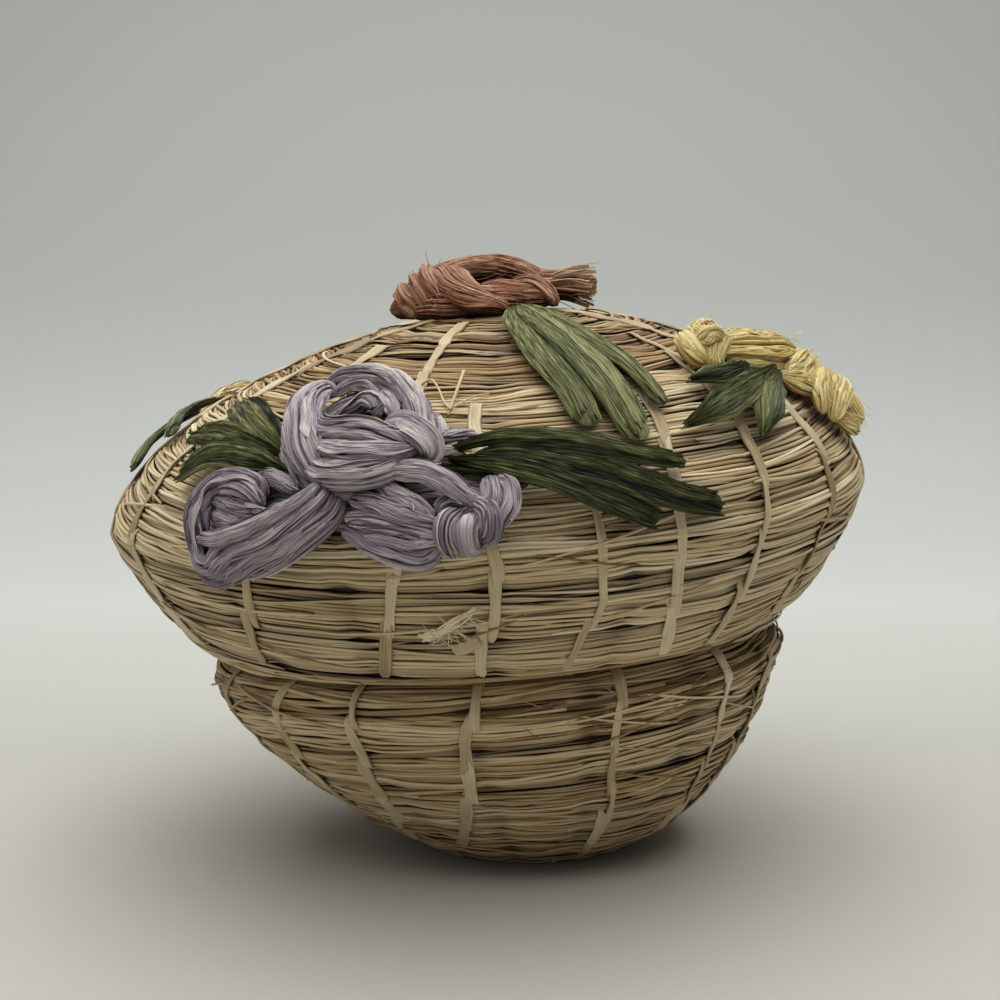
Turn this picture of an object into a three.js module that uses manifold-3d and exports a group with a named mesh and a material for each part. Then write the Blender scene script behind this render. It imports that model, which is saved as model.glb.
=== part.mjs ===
// A small lidded basket: a bowl and a domed lid, each wound from one long bundle of straw that is
// sewn to itself, coil on coil, with rows of split raffia. Raffia flowers and leaves are tied to the
// front and top of the lid. Millimetres, +Z up, origin at the centre of the foot, front towards -Y.
import * as THREE from 'three';
import { mergeVertices } from 'three/addons/utils/BufferGeometryUtils.js';
import Module from 'manifold-3d';

const wasm = await Module();
wasm.setup();

// Bowl: a flat foot, a bulging wall, and a shoulder that turns in to the mouth.
const FOOT_RADIUS = 28;
const BOWL_FLARE = 45; // how far the shoulder stands out past the foot
const SHOULDER_HEIGHT = 47;
const SHOULDER_RISE = 9; // half heights of the oval curve by which the shoulder turns in
const SHOULDER_STEP = 14;
const SHOULDER_TURN = THREE.MathUtils.degToRad(70); // how far round that curve the last coil lies
const BOWL_FULLNESS = 0.42; // 0 is a straight cone, 1 is a quarter of an ellipse
const BOWL_WALL = 5.5;
const BOWL_COIL = 12.4; // height of one coil

// The bowl has settled out of true: its mouth leans to one side and dips there.
const MOUTH_LEAN = 7.4;
const MOUTH_TILT = THREE.MathUtils.degToRad(4);

// Lid: a skirt that flares out above the bowl's shoulder and a full dome over it.
const SEAT_INSET = 2.4; // how far inside the bowl's shoulder the middle of the lid's edge comes down
const LID_FLARE = 22.4; // how far the widest coil stands out past the lid's mouth
const SKIRT_HEIGHT = 32;
const SKIRT_FULLNESS = 0.33;
const DOME_HEIGHT = 48.5;
const DOME_ROUNDNESS = 1.79; // 2 is a true ellipse, less is more pointed
const DOME_LEAN = 6.4; // how far the top of the dome sits off the lid's axis
const LID_WALL = 5.5;
const LID_COIL = 14.5;

// Grooves between coils, on both faces of a wall.
const GROOVE_DEPTH = 0.9;
const GROOVE_SHARPNESS = 3.2; // 2 is a round coil, more has flatter crests and tighter grooves
const CENTRE_DISC = 9; // the flat button that the winding starts from
const RIM_MARGIN = 3; // no groove comes closer than this to a rim

// Rows of raffia stitches, one stitch to a coil.
const BOWL_ROWS = 16;
const BOWL_ROW_PHASE = -0.25; // where the first row stands, as a share of the spacing
const LID_ROWS = 18;
const LID_ROW_PHASE = 0.5;
const STITCH_WIDTH = 2.4;
const STITCH_HEIGHT = 0.8;
const STITCH_SLANT = 0.8; // how far a stitch wanders sideways over one coil
const BOWL_ROW_START = 6; // where a row begins, past the edge of the foot
const LID_ROW_START = 13; // reach of the longer rows from the top of the dome
const SHORT_ROW_START = 38;
const LID_ROW_END = 5; // where a row stops, before the lid's edge

// Clearances.
const TOUCH = 0.3; // between pieces that rest on each other
const CORNER_GAP = 0.03; // corners closer than this are one corner

// How finely the round shapes are divided.
const COLUMNS = 48;
const COLUMN_ANGLE = (2 * Math.PI) / COLUMNS;

// Raffia flowers and leaves. A middle is the angle round the lid and the reach from its top.
const ROSE_UPPER = { degrees: -111, reach: 83 };
const ROSE_LEFT = { degrees: -120, reach: 105 };
const ROSE_RIGHT = { degrees: -98, reach: 105 };
const YELLOW = { degrees: -33, reach: 76 };
const CREAM = { degrees: -203, reach: 80 };
const TOP = { degrees: 0, reach: 0 };
const FLOWER_SPAN = 36; // across the upper lavender flower
const PAD_WIDTH = 9;
const PAD_THICKNESS = 5;
const LEAF_THICKNESS = 2.6;
const LEAF_TIP = 0.3; // width of a leaf's ends, as a share of its middle

// A dense outline of (radius, height) points as a function of the distance along it. The normal is
// the direction of travel turned to the given side.
function measure(points, side) {
  const reach = [0];
  for (let i = 1; i < points.length; i += 1) {
    reach.push(reach[i - 1] + points[i].distanceTo(points[i - 1]));
  }
  const length = reach[reach.length - 1];
  const position = (distance) => {
    const d = THREE.MathUtils.clamp(distance, 0, length);
    let i = 1;
    while (i < points.length - 1 && reach[i] < d) i += 1;
    return points[i - 1].clone().lerp(points[i], (d - reach[i - 1]) / (reach[i] - reach[i - 1]));
  };
  const at = (distance) => {
    const step = length / points.length;
    const ahead = position(distance + step).sub(position(distance - step)).normalize();
    return { point: position(distance), normal: new THREE.Vector2(ahead.y, -ahead.x).multiplyScalar(side) };
  };
  return { points, length, at, side };
}

// The same outline moved sideways. Points that a corner would fold over are left out.
function offset(outline, amount) {
  const moved = [];
  const count = outline.points.length;
  for (let i = 0; i <= count; i += 1) {
    const { point, normal } = outline.at((outline.length * i) / count);
    const candidate = point.clone().addScaledVector(normal, amount);
    const folded = outline.points.some((p) => p.distanceTo(candidate) < Math.abs(amount) - 0.05);
    if (i === 0) candidate.x = 0;
    if (!folded || i === 0) moved.push(candidate);
  }
  return measure(moved, outline.side);
}

// A bulging wall between two radii: part straight cone, part quarter ellipse.
function bulge(radius, flare, height, fullness, steps = 60) {
  const points = [];
  for (let i = 0; i <= steps; i += 1) {
    const t = i / steps;
    const turn = (t * Math.PI) / 2;
    points.push(new THREE.Vector2(
      radius + flare * THREE.MathUtils.lerp(t, Math.sin(turn), fullness),
      height * THREE.MathUtils.lerp(t, 1 - Math.cos(turn), fullness),
    ));
  }
  return points;
}

const shoulderRadius = FOOT_RADIUS + BOWL_FLARE;

function bowlOutline() {
  const points = [new THREE.Vector2(0, 0), new THREE.Vector2(FOOT_RADIUS / 2, 0)];
  points.push(...bulge(FOOT_RADIUS, BOWL_FLARE, SHOULDER_HEIGHT, BOWL_FULLNESS));
  const steps = 24;
  for (let i = 1; i <= steps; i += 1) {
    const turn = (SHOULDER_TURN * i) / steps;
    points.push(new THREE.Vector2(
      shoulderRadius - SHOULDER_STEP * (1 - Math.cos(turn)),
      SHOULDER_HEIGHT + SHOULDER_RISE * Math.sin(turn),
    ));
  }
  return measure(points, 1);
}

const bowl = bowlOutline();
const stitchReach = TOUCH + STITCH_HEIGHT; // how far a stitch stands off the coils that it binds

// The lid sits with its rounded edge on the stitches of the bowl's shoulder.
const lidEdgeRadius = shoulderRadius - SEAT_INSET;

function seatHeight() {
  const clear = LID_WALL / 2 + stitchReach + TOUCH;
  let highest = -Infinity;
  for (const { x, y } of bowl.points) {
    const across = Math.abs(x - lidEdgeRadius);
    if (y < SHOULDER_HEIGHT / 2 || across >= clear) continue;
    highest = Math.max(highest, y + Math.sqrt(clear ** 2 - across ** 2));
  }
  return highest;
}

const SEAT_HEIGHT = SHOULDER_HEIGHT + SHOULDER_RISE / 2; // where the tilted mouth turns about

// The outline of the lid, from the top of the dome to its edge, in the tilted frame of the mouth.
function lidOutline() {
  const slope = new THREE.Vector2(
    LID_FLARE * THREE.MathUtils.lerp(1, Math.PI / 2, SKIRT_FULLNESS),
    SKIRT_HEIGHT * (1 - SKIRT_FULLNESS),
  ).normalize();
  const edge = new THREE.Vector2(lidEdgeRadius, seatHeight() - SEAT_HEIGHT);
  const mouth = edge.addScaledVector(new THREE.Vector2(slope.y, -slope.x), LID_WALL / 2);
  const points = [];
  const steps = 80;
  for (let i = 0; i <= steps; i += 1) {
    const turn = ((steps - i) / steps) * (Math.PI / 2);
    points.push(new THREE.Vector2(
      (mouth.x + LID_FLARE) * Math.cos(turn) ** (2 / DOME_ROUNDNESS),
      mouth.y + SKIRT_HEIGHT + DOME_HEIGHT * Math.sin(turn) ** (2 / DOME_ROUNDNESS),
    ));
  }
  const skirt = bulge(mouth.x, LID_FLARE, SKIRT_HEIGHT, SKIRT_FULLNESS).reverse().slice(1);
  points.push(...skirt.map((p) => new THREE.Vector2(p.x, p.y + mouth.y)));
  return measure(points, -1);
}

const lid = lidOutline();
const lidWidestHeight = lid.points[80].y;

// Shifts a point of the true round bowl to where the settled bowl has it.
function settleBowl(point) {
  const settled = THREE.MathUtils.smoothstep(point.z, 0, SHOULDER_HEIGHT);
  const tilted = new THREE.Vector3(point.x, point.y, point.z - SEAT_HEIGHT)
    .applyAxisAngle(new THREE.Vector3(0, 1, 0), -MOUTH_TILT)
    .add(new THREE.Vector3(-MOUTH_LEAN, 0, SEAT_HEIGHT));
  return point.clone().lerp(tilted, settled);
}

// Leans the lid's dome.
function leanLid(point) {
  const share = THREE.MathUtils.clamp((point.z - lidWidestHeight) / DOME_HEIGHT, 0, 1);
  return new THREE.Vector3(point.x + DOME_LEAN * share, point.y, point.z);
}

// A point on the faceted wall: its radius falls short of the true circle between two columns.
function onWall(outline, angle, distance, lift) {
  const { point, normal } = outline.at(distance);
  const radius = point.x + normal.x * lift;
  const inFacet = THREE.MathUtils.euclideanModulo(angle, COLUMN_ANGLE) - COLUMN_ANGLE / 2;
  const facet = (radius * Math.cos(COLUMN_ANGLE / 2)) / Math.cos(inFacet);
  return new THREE.Vector3(facet * Math.cos(angle), facet * Math.sin(angle), point.y + normal.y * lift);
}

// Where lines run along a coil, as shares of it from one groove to the next.
const OUTER_LINES = [0, 0.18, 0.5, 0.82];
const INNER_LINES = [0, 0.5];

// Distances along an outline where one column crosses the spiral, with the depth of the coil there.
function coilStations(angle, coil, lines, from, to) {
  const stations = [];
  const start = coil * (angle / (2 * Math.PI));
  for (let turn = -1; turn * coil < to; turn += 1) {
    for (const share of lines) {
      const distance = start + coil * (turn + share);
      const depth = GROOVE_DEPTH * Math.abs(2 * share - 1) ** GROOVE_SHARPNESS;
      if (distance > from && distance < to) stations.push({ distance, depth });
    }
  }
  return stations;
}

// Joins two neighbouring columns of points with triangles, level by level along the spiral.
function joinColumns(triangles, left, right, lag) {
  let i = 0;
  let k = 0;
  while (i < left.length - 1 || k < right.length - 1) {
    const nextLeft = i < left.length - 1 ? left[i + 1].level : Infinity;
    const nextRight = k < right.length - 1 ? right[k + 1].level + lag : Infinity;
    const stepLeft = k === right.length - 1 || (i < left.length - 1 && nextLeft <= nextRight);
    const third = stepLeft ? left[i + 1] : right[k + 1];
    if (left[i].index !== right[k].index) triangles.push(left[i].index, right[k].index, third.index);
    if (stepLeft) i += 1;
    else k += 1;
  }
}

// A hollow wound shell: the outer face from its centre to the rim, a rounded rim, and the inner face.
function woundShell({ outer, wall, coil, ring, place, flip }) {
  const inner = offset(outer, -wall);
  const positions = [];
  const triangles = [];
  const addPoint = (point) => {
    positions.push(...place(point).toArray());
    return positions.length / 3 - 1;
  };
  const spin = ({ point, normal }, angle, lift) => new THREE.Vector3(
    (point.x + normal.x * lift) * Math.cos(angle),
    (point.x + normal.x * lift) * Math.sin(angle),
    point.y + normal.y * lift,
  );
  const outerCentre = addPoint(spin(outer.at(0), 0, 0));
  const innerCentre = addPoint(spin(inner.at(0), 0, 0));
  const rimSteps = 4;
  const sections = [[], [], [], []];
  for (let column = 0; column < COLUMNS; column += 1) {
    const angle = column * COLUMN_ANGLE;
    const lag = (coil * column) / COLUMNS;
    const winding = (outline, lines, from, to, inward) => coilStations(angle, coil, lines, from, to)
      .map(({ distance, depth }) => ({
        index: addPoint(spin(outline.at(distance), angle, -inward * depth)),
        level: distance - lag,
      }));
    const ringPoint = addPoint(spin(outer.at(ring), angle, 0));
    const rim = [];
    const edge = outer.at(outer.length);
    for (let i = 0; i <= rimSteps; i += 1) {
      const turn = (i / rimSteps) * Math.PI;
      const along = new THREE.Vector2(-edge.normal.y, edge.normal.x).multiplyScalar(outer.side);
      const bead = edge.point.clone()
        .addScaledVector(edge.normal, (wall / 2) * (Math.cos(turn) - 1))
        .addScaledVector(along, (wall / 2) * Math.sin(turn));
      rim.push(addPoint(spin({ point: bead, normal: edge.normal }, angle, 0)));
    }
    const first = winding(outer, OUTER_LINES, Math.min(CENTRE_DISC, ring / 2), ring - RIM_MARGIN, 1);
    const second = winding(outer, OUTER_LINES, ring + RIM_MARGIN, outer.length - RIM_MARGIN, 1);
    const inside = winding(inner, INNER_LINES, CENTRE_DISC, inner.length - RIM_MARGIN, -1).reverse();
    sections[0].push([
      { index: outerCentre, level: -Infinity },
      ...first,
      { index: ringPoint, level: Infinity },
    ]);
    sections[1].push([
      { index: ringPoint, level: -Infinity },
      ...second,
      { index: rim[0], level: Infinity },
    ]);
    sections[2].push(rim.map((index, i) => ({ index, level: i })));
    sections[3].push([
      { index: rim[rimSteps], level: -Infinity },
      ...inside.map(({ index, level }) => ({ index, level: -level })),
      { index: innerCentre, level: Infinity },
    ]);
  }
  const lags = [-coil, -coil, 0, coil];
  sections.forEach((columns, section) => {
    columns.forEach((left, column) => {
      const wraps = column === COLUMNS - 1;
      joinColumns(triangles, left, columns[(column + 1) % COLUMNS], wraps ? lags[section] : 0);
    });
  });
  if (flip) triangles.reverse();
  return shape(positions, triangles);
}

function shape(positions, triangles) {
  const geometry = new THREE.BufferGeometry();
  geometry.setAttribute('position', new THREE.Float32BufferAttribute(positions, 3));
  geometry.setIndex(triangles);
  return geometry;
}

// A solid for joining and cutting, from a closed geometry.
function solidOf(geometry) {
  const bare = geometry.clone();
  bare.deleteAttribute('normal');
  bare.deleteAttribute('uv');
  const merged = mergeVertices(bare, 1e-5);
  return new wasm.Manifold(new wasm.Mesh({
    numProp: 3,
    vertProperties: merged.attributes.position.array,
    triVerts: new Uint32Array(withoutSlivers(merged.index.array)),
  }));
}

// The triangles that still have three different corners.
function withoutSlivers(corners) {
  const kept = [];
  for (let i = 0; i < corners.length; i += 3) {
    const [a, b, c] = corners.slice(i, i + 3);
    if (a !== b && b !== c && a !== c) kept.push(a, b, c);
  }
  return kept;
}

// The surface of a cut solid. Corners that the cut left almost on top of each other are joined.
function geometryOf(solid) {
  const { vertProperties, triVerts } = solid.getMesh();
  const corner = (index) => new THREE.Vector3().fromArray(vertProperties, 3 * index);
  const joinedTo = Array.from({ length: vertProperties.length / 3 }, (_, index) => index);
  const settled = (index) => (joinedTo[index] === index ? index : settled(joinedTo[index]));
  triVerts.forEach((start, i) => {
    const from = settled(start);
    const to = settled(triVerts[i % 3 === 2 ? i - 2 : i + 1]);
    if (from !== to && corner(from).distanceTo(corner(to)) < CORNER_GAP) joinedTo[to] = from;
  });
  const corners = Array.from(triVerts, settled);
  return shape(Array.from(vertProperties), withoutSlivers(corners));
}

// One row of stitches: a ridged strand laid over the coils, dipping into each groove and stepping
// sideways from one stitch to the next.
function stitchRow({ outline, coil, place, angle, from, to }) {
  const stations = coilStations(angle, coil, OUTER_LINES, from, to);
  const positions = [];
  const triangles = [];
  stations.forEach(({ distance, depth }, i) => {
    const radius = outline.at(distance).point.x;
    const phase = THREE.MathUtils.euclideanModulo(distance / coil - angle / (2 * Math.PI), 1);
    const wander = (STITCH_SLANT * Math.sin(2 * Math.PI * phase)) / radius;
    const half = STITCH_WIDTH / 2 / radius;
    const low = TOUCH - depth;
    positions.push(...place(onWall(outline, angle + wander - half, distance, low)).toArray());
    positions.push(...place(onWall(outline, angle + wander + half, distance, low)).toArray());
    positions.push(...place(onWall(outline, angle + wander, distance, low + STITCH_HEIGHT)).toArray());
    if (i === 0) return;
    for (let side = 0; side < 3; side += 1) {
      const next = (side + 1) % 3;
      const near = 3 * i - 3;
      triangles.push(near + side, near + next, 3 * i + next, near + side, 3 * i + next, 3 * i + side);
    }
  });
  const last = positions.length / 3 - 3;
  triangles.push(0, 2, 1, last, last + 1, last + 2);
  if (outline.side > 0) triangles.reverse();
  return shape(positions, triangles);
}

// A place on the lid: the point above the coils and the direction straight off the lid.
function onLid(degrees, distance, lift) {
  const angle = THREE.MathUtils.degToRad(degrees);
  const { point, normal } = lid.at(distance);
  const turned = ({ x, y }) => new THREE.Vector3(x * Math.cos(angle), x * Math.sin(angle), y);
  return { at: leanLid(turned(point.clone().addScaledVector(normal, lift))), out: turned(normal) };
}

// A place beside a flower's middle: across runs to the right seen from the front, down runs to the edge.
function beside(middle, across, down, lift) {
  const radius = lid.at(middle.reach).point.x;
  return onLid(middle.degrees + THREE.MathUtils.radToDeg(across / radius), middle.reach + down, lift);
}

// A place by the top of the dome, in plan.
function onTop(x, y, lift) {
  return onLid(THREE.MathUtils.radToDeg(Math.atan2(y, x)), Math.hypot(x, y), lift);
}

// A soft bundle laid along a path, flat oval in section. wide and tall are functions of the share of
// the path, or plain sizes. grow adds the same skin all round.
function bundle({ path, wide, tall, stations, closed = false, sides = 6 }, grow) {
  const points = new THREE.CatmullRomCurve3(path.map((p) => p.at), closed, 'centripetal');
  const outs = new THREE.CatmullRomCurve3(path.map((p) => p.out.clone().multiplyScalar(10)), closed);
  const size = (value, t) => (typeof value === 'function' ? value(t) : value);
  const positions = [];
  const triangles = [];
  const rings = closed ? stations : stations + 1;
  for (let i = 0; i < rings; i += 1) {
    const t = i / stations;
    const ahead = points.getTangent(t);
    const centre = points.getPoint(t);
    if (!closed && i === 0) centre.addScaledVector(ahead, -grow);
    if (!closed && i === stations) centre.addScaledVector(ahead, grow);
    const out = outs.getPoint(t).projectOnPlane(ahead).normalize();
    const across = new THREE.Vector3().crossVectors(ahead, out);
    for (let k = 0; k < sides; k += 1) {
      const turn = (2 * Math.PI * k) / sides;
      positions.push(...centre.clone()
        .addScaledVector(across, Math.cos(turn) * (size(wide, t) / 2 + grow))
        .addScaledVector(out, Math.sin(turn) * (size(tall, t) / 2 + grow))
        .toArray());
    }
  }
  const lastRing = closed ? rings : rings - 1;
  for (let i = 0; i < lastRing; i += 1) {
    for (let k = 0; k < sides; k += 1) {
      const a = i * sides + k;
      const b = i * sides + ((k + 1) % sides);
      const c = ((i + 1) % rings) * sides + k;
      const d = ((i + 1) % rings) * sides + ((k + 1) % sides);
      triangles.push(a, c, d, a, d, b);
    }
  }
  if (!closed) {
    const end = (rings - 1) * sides;
    for (let k = 1; k < sides - 1; k += 1) {
      triangles.push(0, k, k + 1, end, end + k + 1, end + k);
    }
  }
  return solidOf(shape(positions, triangles));
}

const decorSeat = stitchReach + TOUCH; // flowers rest on the stitches

const flowerScale = FLOWER_SPAN / 36; // widths and places below are for a flower 36 mm across

// A leaf: a flat bunch of split raffia through places away from a flower's middle, each given by its
// angle and reach from there and the height off the coils. It is drawn in at both ends.
function leaf(middle, width, places) {
  const line = new THREE.CatmullRomCurve3(places.map((place) => new THREE.Vector3(...place)));
  const path = line.getPoints(6)
    .map(({ x, y, z }) => onLid(middle.degrees + x, middle.reach + y * flowerScale, z * flowerScale));
  const swell = (t) => THREE.MathUtils.lerp(LEAF_TIP, 1, Math.sin(Math.PI * t) ** 0.6);
  return { path, wide: (t) => width * flowerScale * swell(t), tall: LEAF_THICKNESS, stations: 7 };
}

// A bunch of raffia through places beside a flower's middle: across, down and height off the coils.
function bunch(middle, wide, tall, places) {
  const path = places.map((place) => {
    const scaled = place.map((value) => value * flowerScale);
    return middle === TOP ? onTop(...scaled) : beside(middle, ...scaled);
  });
  return { path, wide: wide * flowerScale, tall: tall * flowerScale, stations: places.length + 2 };
}

const flare = (from, to) => (t) => THREE.MathUtils.lerp(from, to, t) * flowerScale;

// A flat ring of raffia that a flower is built up on.
function pad(middle, across, down) {
  const path = [];
  const corners = 8;
  for (let i = 0; i < corners; i += 1) {
    const turn = (2 * Math.PI * i) / corners;
    const place = [across * Math.cos(turn), down * Math.sin(turn)].map((value) => value * flowerScale);
    path.push(beside(middle, ...place, decorSeat + PAD_THICKNESS * 0.4));
  }
  return { path, closed: true, wide: PAD_WIDTH, tall: PAD_THICKNESS, stations: corners };
}

const colours = {
  straw: 0xb79f74,
  stitch: 0xd6c69d,
  lavender: 0x9d8fab,
  leaf: 0x3d4a2f,
  coral: 0xa2604a,
  yellow: 0xd8b969,
  cream: 0xd9c79a,
};

// Every flower piece, the ones that lie on top of their neighbours first.
const flowers = [
  {
    name: 'lavender_rosette_upper',
    colour: colours.lavender,
    bundles: [
      pad(ROSE_UPPER, 11, 8),
      bunch(ROSE_UPPER, 6, 7, [
        [-15, -11, 5], [-9, -12.5, 7], [0, -10.5, 7.5], [9, -6, 8], [14.5, 1, 8], [17, 8, 7.5], [15, 13, 4],
      ]),
      bunch(ROSE_UPPER, 9, 6, [[-9, -8, 4], [-11.5, -4, 8], [-10, 4, 9.5], [-5, 12, 9], [-1, 17, 5]]),
      bunch(ROSE_UPPER, 6, 5, [[-14, 4, 4], [-8, 13, 4.5], [2, 17.5, 5], [12, 15, 5]]),
      bunch(ROSE_UPPER, 8, 7, [[-5, 12, 7.5], [1, 15, 9.5], [8, 15.5, 10.5], [16, 13, 8]]),
      bunch(ROSE_UPPER, 6, 5, [[-9, 0, 6], [-3, 7, 9.5], [6, 9, 11], [14, 11, 10.5], [18, 14, 7]]),
      bunch(ROSE_UPPER, 6, 7, [[-5, -2, 5], [0, -0.5, 7.5], [6, 1.5, 8]]),
    ],
  },
  {
    name: 'lavender_rosette_left',
    colour: colours.lavender,
    bundles: [
      pad(ROSE_LEFT, 10, 4),
      bunch(ROSE_LEFT, 5.5, 6, [
        [8, -4, 5], [0, -5.5, 8], [-8, -5, 8.5], [-15, -2.5, 8], [-17, 2, 7.5], [-15, 7, 6], [-10, 9, 5],
      ]),
      bunch(ROSE_LEFT, 5.5, 6, [[-12, -2.5, 6], [-4, -1, 8.5], [5, 1, 8]]),
      bunch(ROSE_LEFT, 9, 6, [[-12, 6.5, 6], [-2, 7, 8.5], [8, 4, 9.5], [14.5, -1, 9]]),
      bunch(ROSE_LEFT, 6, 5, [[-7, 11, 4], [4, 9, 5.5], [13, 4.5, 6.5], [17.5, -2, 5]]),
    ],
  },
  {
    name: 'lavender_rosette_right',
    colour: colours.lavender,
    bundles: [
      pad(ROSE_RIGHT, 11, 3),
      bunch(ROSE_RIGHT, 6.5, 6, [[-15, 3, 4], [-9, 6, 5.5], [-3, 7.5, 6.5], [5, 7, 8]]),
      bunch(ROSE_RIGHT, 7, 6, [[-15, -0.5, 6], [-9, 1.5, 7.5], [-2, 3.5, 9], [5, 5, 9.5]]),
      bunch(ROSE_RIGHT, 6, 6, [[-9, -6, 6], [-3, -6, 9], [4.5, -3, 9.5], [11, 1.5, 9]]),
      bunch(ROSE_RIGHT, 9, 6, [[7, 8, 6], [7, 5, 11], [11, 3, 11.5], [14, 5.5, 9]]),
      bunch(ROSE_RIGHT, 6.5, 5, [[13.5, -5, 6], [17, -1, 8.5], [17, 4, 9.5], [13, 6.5, 8]]),
    ],
  },
  {
    name: 'coral_knot',
    colour: colours.coral,
    bundles: [
      bunch(TOP, 7.5, 6, [
        [-24, -3, 6], [-18, -0.5, 9], [-12, 1, 11], [-3, 2.5, 11.5], [6, 1.5, 10.5], [13, -1.5, 7],
      ]),
      bunch(TOP, 8, 7, [[-24, -5, 5.5], [-17, -9, 5.5], [-8, -11, 5.5], [2, -10, 5.5], [13, -5, 5.5]]),
      bunch(TOP, 9, 5, [[-13, 1, 11.5], [-10, -6, 11], [-7, -11.5, 7.5], [-2, -14.5, 4]]),
      bunch(TOP, 9, 4, [[-18, 2, 9.5], [-18.5, -4, 11], [-18, -9, 8], [-16, -11.5, 4]]),
    ],
  },
  {
    name: 'coral_tuft',
    colour: colours.coral,
    bundles: [{
      ...bunch(TOP, 7, 5, [[12, -2.5, 6.5], [18, -3.5, 7.5], [25.5, -4.5, 7.5]]),
      wide: flare(7, 12),
      tall: flare(5, 9),
      sides: 8,
    }],
  },
  {
    name: 'yellow_knot',
    colour: colours.yellow,
    bundles: [
      bunch(YELLOW, 8, 7, [[-16, -17, 5], [-17, -11, 6.5], [-16, -5, 4.7]]),
      bunch(YELLOW, 7, 6, [[-10.5, -14.5, 7], [-12.5, -10.5, 9], [-10.5, -6.5, 8]]),
      bunch(YELLOW, 6, 5, [[-5, -10, 7], [-10, -7.8, 8.6], [-15.5, -5.3, 5.6]]),
    ],
  },
  {
    name: 'yellow_roll',
    colour: colours.yellow,
    bundles: [
      bunch(YELLOW, 9, 9, [[-10, -8, 5], [-3, -6.5, 4.8], [5, -4.5, 4.6], [14, -3, 5.8], [23, 0, 7]]),
      bunch(YELLOW, 8, 6, [[24, 0.5, 7.5], [23, 4.5, 7], [15, 5, 7], [7, 5, 5.5]]),
    ],
  },
  {
    name: 'yellow_bud',
    colour: colours.yellow,
    bundles: [
      bunch(YELLOW, 7, 5, [[6, 5, 4.5], [12, 9.5, 5.5], [18, 14, 6]]),
      bunch(YELLOW, 13, 7, [[17, 10, 6], [18.5, 15, 6.5], [20, 20, 6], [22.5, 25.5, 5.5]]),
    ],
  },
  {
    name: 'cream_flower',
    colour: colours.cream,
    bundles: [
      bunch(CREAM, 9, 5, [[-16, -1, 3.2], [-5, 0, 3.6], [5, -1, 3.4], [14.5, -3, 3.2]]),
      bunch(CREAM, 8, 5, [[-11, -5, 4], [0, 3, 4.4], [9, 6, 3.4]]),
    ],
  },
];

const leaves = [
  ['lavender_leaf_left', ROSE_UPPER, [
    [8, [[-11, 8, 4], [-17, 2.5, 5.5], [-23, -2, 5], [-34, -8, 3.5]]],
    [6.5, [[-11, 9.5, 5], [-18.5, 6.5, 6], [-26, 4, 5.5], [-37.5, 3.5, 3.5]]],
    [6.5, [[-9, 13, 5], [-15, 11.5, 7], [-23.5, 10.5, 6], [-30.5, 14, 3.5]]],
  ]],
  ['lavender_leaf_right', ROSE_UPPER, [
    [5.5, [[13, 11, 4], [20, 9.5, 6.5], [34, 12, 6.5], [48, 16.5, 3]]],
    [8, [[16, 15, 4], [25, 13.5, 6], [40.5, 21, 5], [52.5, 26.5, 2.5]]],
    [7.5, [[15, 13, 5], [24, 15.5, 7], [36, 22.5, 5], [43, 27.5, 2.5]]],
  ]],
  ['coral_leaf', TOP, [
    [10, [[-82, 12, 4], [-84, 34.5, 4], [-79.5, 63.5, 4.5], [-75.5, 88, 2.5]]],
    [12, [[-70, 12, 4], [-75, 37, 5], [-71.5, 68.5, 5], [-68.5, 93, 2.5]]],
    [6.5, [[-58, 12, 4], [-70, 40, 4.5], [-65, 60, 4.5], [-62, 84, 2.5]]],
  ]],
  ['yellow_leaf', YELLOW, [
    [6.5, [[-2, -3, 4], [-10, -0.5, 4.3], [-17, 0.5, 4], [-21.5, 0.5, 2.5]]],
    [8, [[-1, 2.5, 4], [-13, 8, 5.5], [-21.5, 12, 4.5], [-28.5, 15, 2.5]]],
    [9, [[0, 4, 4], [-7, 9, 5], [-12, 14.5, 4.5], [-15, 20, 2.5]]],
  ]],
  ['cream_leaf', CREAM, [
    [7.5, [[13, 3, 3.2], [26.5, 5, 3.2], [39.5, 11, 3.4], [49, 17, 2.5]]],
    [6.5, [[12, -2, 3.2], [33, 0, 3.2], [46, 3, 3.4], [55.5, 6, 2.5]]],
  ]],
];
for (const [stem, middle, spread] of leaves) {
  spread.forEach(([width, places], i) => {
    flowers.push({ name: `${stem}_${i + 1}`, colour: colours.leaf, bundles: [leaf(middle, width, places)] });
  });
}

// Everything below the level at which the flowers rest, as one solid that trims their undersides.
function lidFootprint() {
  const raised = offset(lid, decorSeat);
  const profile = [];
  const rings = 15;
  for (let i = 0; i <= rings; i += 1) profile.push(raised.at((raised.length * i) / rings).point);
  profile[0].x = 0;
  profile.push(new THREE.Vector2(0, profile[rings].y));
  const geometry = new THREE.LatheGeometry(profile.reverse(), COLUMNS);
  geometry.rotateX(Math.PI / 2);
  const position = geometry.attributes.position;
  for (let i = 0; i < position.count; i += 1) {
    const leaned = leanLid(new THREE.Vector3().fromBufferAttribute(position, i));
    position.setXYZ(i, leaned.x, leaned.y, leaned.z);
  }
  return solidOf(geometry);
}

function largest(solid) {
  return solid.decompose().sort((a, b) => b.volume() - a.volume())[0];
}

const join = (bundles, grow) => bundles.map((b) => bundle(b, grow)).reduce((whole, next) => whole.add(next));

function finish(colour, roughness) {
  return new THREE.MeshStandardMaterial({ color: colour, roughness, metalness: 0 });
}

function named(name, geometry, material) {
  const mesh = new THREE.Mesh(geometry, material);
  mesh.name = name;
  return mesh;
}

const group = new THREE.Group();
const lidGroup = new THREE.Group();
lidGroup.position.set(-MOUTH_LEAN, 0, SEAT_HEIGHT);
lidGroup.rotation.y = -MOUTH_TILT;
group.add(lidGroup);

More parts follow.
